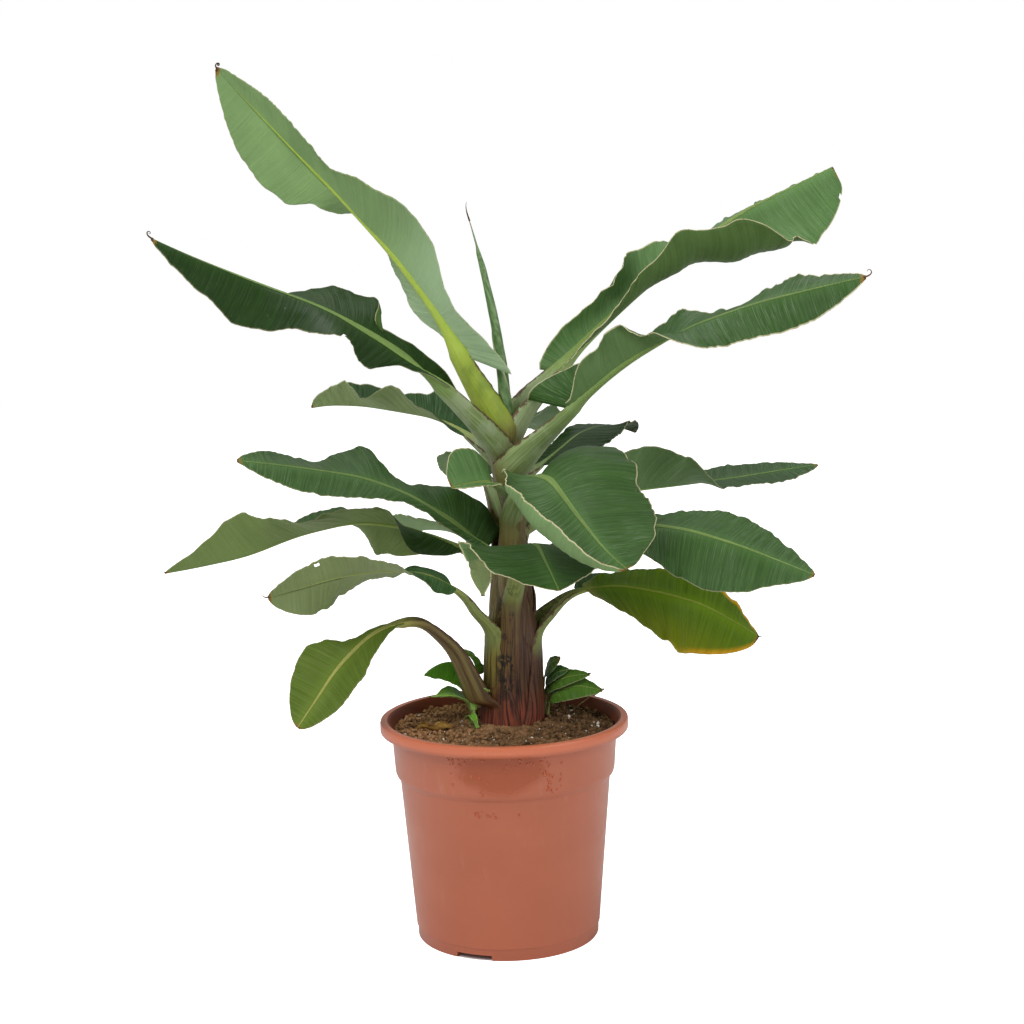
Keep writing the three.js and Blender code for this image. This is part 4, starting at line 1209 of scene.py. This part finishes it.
def soil_height(x, y):
    """Height of the compost: mounded at the stem, sunk at the wall, crumbly all over."""
    r = math.hypot(x, y)
    from_stem = math.hypot(x - STEM[0][0], y - STEM[0][1])
    z = lerp(205.6, 204.0, smooth(r, 70, 104)) + 3.0 * (1 - smooth(from_stem, 34, 66))
    swells = ((1.6, 0.035, 2), (1.7, 0.11, 5), (1.1, 0.3, 9), (0.6, 0.8, 4), (0.35, 1.7, 6))
    for height, grain, layer in swells:
        z += height * rough(x * grain, y * grain, layer)
    return z


class BANANA_OT_soil(bpy.types.Operator):
    """Makes the compost, its crumbs and white grains, and the litter on it"""
    bl_idname = "banana.soil"
    bl_label = "Soil"

    def execute(self, context):
        settings = context.scene.banana_soil
        rows, around, edge, skirt_foot = 110, 280, 107.6, 186
        bm, places = grid_mesh(rows, around)
        for v, (row, column) in places.items():
            angle = column * 2 * math.pi
            r = edge * row ** 0.75
            x, y = r * math.cos(angle), r * math.sin(angle)
            v.co = (x, y, soil_height(x, y)) if row < 1 else (x * 0.98, y * 0.98, skirt_foot)
        bmesh.ops.remove_doubles(bm, verts=bm.verts, dist=0.002)
        bmesh.ops.holes_fill(bm, edges=[e for e in bm.edges if e.is_boundary], sides=0)
        bmesh.ops.recalc_face_normals(bm, faces=bm.faces)
        ground = soil_material("compost", settings)
        finish_piece(bm, "compost", (ground,), ("soil",))
        self.scatter("compost_crumbs", settings.crumbs, (0.7, 3.2), soil_material("crumbs", settings), 5)
        self.scatter("perlite_grains", settings.perlite, (0.85, 2.3), perlite_material(), 8)
        self.add_litter()
        return {"FINISHED"}

    def scatter(self, name, count, sizes, material, seed):
        """Loose lumps lying on the compost, as one piece."""
        draw = random.Random(seed)
        bm = bmesh.new()
        for _ in range(count):
            r, angle = 106 * math.sqrt(draw.uniform(0.08, 1)), draw.uniform(0, 2 * math.pi)
            x, y = r * math.cos(angle), r * math.sin(angle)
            size = lerp(sizes[0], sizes[1], draw.random() ** 3)
            turn = Euler([draw.uniform(0, 6.3) for _ in range(3)]).to_matrix().to_4x4()
            stretch = Matrix.Diagonal((1, draw.uniform(0.6, 1), draw.uniform(0.5, 0.9), 1))
            place = Matrix.Translation((x, y, soil_height(x, y) + size * draw.uniform(0.05, 0.6)))
            lump = bmesh.ops.create_icosphere(bm, subdivisions=2 if size > 1.7 else 1, radius=size,
                                              matrix=place @ turn @ stretch)
            for v in lump["verts"]:
                x, y, z = v.co
                v.co += Vector((rough(x * 0.9, y, z), rough(y * 0.9, z, x), 0)) * size * 0.5
        finish_piece(bm, name, (material,))

    def add_litter(self):
        """A dried curled leaf scrap, a forked twig and a few fibres."""
        path = [(-84, -12, 206), (-76, -18, 209), (-66, -20, 207), (-54, -15, 208), (-48, -20, 206)]
        scrap = Leaf("litter_scrap", path=path, stalk=0.02, widthL=8, widthR=7, liftL=[30, 60, 20, 70],
                     liftR=[60, 20, 80, 30], curlL=90, curlR=70, root=0.8, neck=0.7, base=0.4,
                     ripple=2, ripples=2)
        bm, places = grid_mesh(40, 16)
        for v, (row, column) in places.items():
            j = round(column * 16) - 8
            side = "L" if j < 0 else "R"
            v.co = scrap.blade_point(row, side, abs(j) / 8 * scrap.half_width(side, row), 1.5)
        skin = dry_material("dried leaf", "#6b4a20", "#b58f4a")
        piece = finish_piece(bm, "litter_leaf", (skin,))
        piece.modifiers.new("Thickness", "SOLIDIFY").thickness = 0.0005
        bm = bmesh.new()
        twigs = [[(64, 44, 205), (74, 60, 209), (84, 82, 211), (92, 98, 213)],
                 [(76, 64, 209.5), (84, 70, 214), (88, 74, 219)],
                 [(84, 82, 211), (92, 84, 214), (98, 90, 216)]]
        steps = [k / 12 for k in range(13)]
        for twig in twigs:
            path = [Vector(p) for p in twig]
            add_tube(bm, [catmull(path, t) for t in steps], [lerp(1.0, 0.45, t) for t in steps], 6)
        draw = random.Random(4)
        for _ in range(46):
            r = 100 * math.sqrt(draw.uniform(0.12, 1))
            angle, heading = draw.uniform(0, 6.3), draw.uniform(0, 6.3)
            x, y, length = r * math.cos(angle), r * math.sin(angle), draw.uniform(5, 14)
            path = []
            for k in range(4):
                px, py = x + math.cos(heading) * length * k / 3, y + math.sin(heading) * length * k / 3
                if math.hypot(px, py) < 102:
                    path.append(Vector((px, py, soil_height(px, py) + 0.9)))
                heading += draw.uniform(-0.5, 0.5)
            if len(path) == 4:
                add_tube(bm, [catmull(path, t / 6) for t in range(7)], [0.28] * 7, 5)
        finish_piece(bm, "litter_twigs", (dry_material("dead twig", "#5b4426", "#8f7a4c"),))


# ---------------------------------------------------------------- stage
class BANANA_OT_stage(bpy.types.Operator):
    """Makes the floor, the soft studio light and the camera"""
    bl_idname = "banana.stage"
    bl_label = "Stage"

    def execute(self, context):
        settings = context.scene.banana_stage
        bm = bmesh.new()
        bmesh.ops.create_grid(bm, x_segments=1, y_segments=1, size=6)
        mesh = bpy.data.meshes.new("floor")
        bm.to_mesh(mesh)
        bm.free()
        floor = bpy.data.objects.new("floor", mesh)
        mesh.materials.append(floor_material(settings))
        context.scene.collection.objects.link(floor)
        world = bpy.data.worlds.new("studio")
        world.use_nodes = True
        nodes = Nodes(world.node_tree)
        background = world.node_tree.nodes["Background"]
        background.inputs["Color"].default_value = (1, 1, 1, 1)
        seen = nodes.add("LightPath")["Is Camera Ray"]
        nodes.give(background.inputs["Strength"], nodes.ramp(seen, 0, 1, settings.sky, 1.0))
        context.scene.world = world
        self.add_light("key", (-1.3, -1.5, 2.4), 1.6, settings.key_power)
        self.add_light("fill", (1.7, -1.2, 1.3), 1.4, settings.key_power * 0.35)
        self.add_light("top", (0.2, 0.9, 2.6), 1.6, settings.key_power * 0.5)
        self.add_camera(context.scene, settings)
        context.scene.view_settings.view_transform = "Standard"
        return {"FINISHED"}

    def add_light(self, name, place, size, power):
        data = bpy.data.lights.new(name, "AREA")
        data.energy, data.size = power, size
        light = bpy.data.objects.new(name, data)
        light.location = place
        aim = Vector((0, 0, 0.4)) - Vector(place)
        light.rotation_euler = aim.to_track_quat("-Z", "Y").to_euler()
        bpy.context.scene.collection.objects.link(light)

    def add_camera(self, scene, settings):
        data = bpy.data.cameras.new("camera")
        data.lens, data.sensor_width = settings.camera_lens, 36
        camera = bpy.data.objects.new("camera", data)
        pitch, roll = math.radians(-8.25), math.radians(-1.2)
        turn = Euler((math.radians(90) + pitch, 0, 0)).to_matrix() @ Matrix.Rotation(roll, 3, "Z")
        camera.matrix_world = Matrix.Translation((0.0118, -1.908, 0.691)) @ turn.to_4x4()
        scene.collection.objects.link(camera)
        scene.camera = camera


class BANANA_PT_panel(bpy.types.Panel):
    """Lists the steps that build the plant"""
    bl_label = "Banana Plant"
    bl_idname = "BANANA_PT_panel"
    bl_space_type = "VIEW_3D"
    bl_region_type = "UI"
    bl_category = "Banana Plant"

    def draw(self, context):
        layout = self.layout
        for group in GROUPS:
            owner = getattr(context.scene, group)
            for name in owner.__annotations__:
                layout.prop(owner, name)
        for operator in OPERATORS:
            layout.operator(operator.bl_idname)


GROUPS = {
    "banana_pot": BananaPotSettings, "banana_soil": BananaSoilSettings, "banana_leaf": BananaLeafSettings,
    "banana_stem": BananaStemSettings, "banana_stage": BananaStageSettings}
OPERATORS = (BANANA_OT_stage, BANANA_OT_pot, BANANA_OT_soil, BANANA_OT_stem, BANANA_OT_rolled_leaf,
             BANANA_OT_leaves, BANANA_OT_shoots)


def register():
    for cls in (*GROUPS.values(), *OPERATORS, BANANA_PT_panel):
        bpy.utils.register_class(cls)
    for name, cls in GROUPS.items():
        setattr(bpy.types.Scene, name, PointerProperty(type=cls))


def unregister():
    for name in GROUPS:
        delattr(bpy.types.Scene, name)
    for cls in reversed((*GROUPS.values(), *OPERATORS, BANANA_PT_panel)):
        bpy.utils.unregister_class(cls)


def make_shared_materials(settings):
    margin_material(settings)
    dry_material("dry thread", "#3a2618", "#6b4a2a")


def main():
    register()
    make_shared_materials(bpy.context.scene.banana_leaf)
    bpy.ops.banana.stage()
    bpy.ops.banana.pot()
    bpy.ops.banana.soil()
    bpy.ops.banana.stem()
    bpy.ops.banana.rolled_leaf()
    bpy.ops.banana.leaves()
    bpy.ops.banana.shoots()


if __name__ == "__main__":
    main()
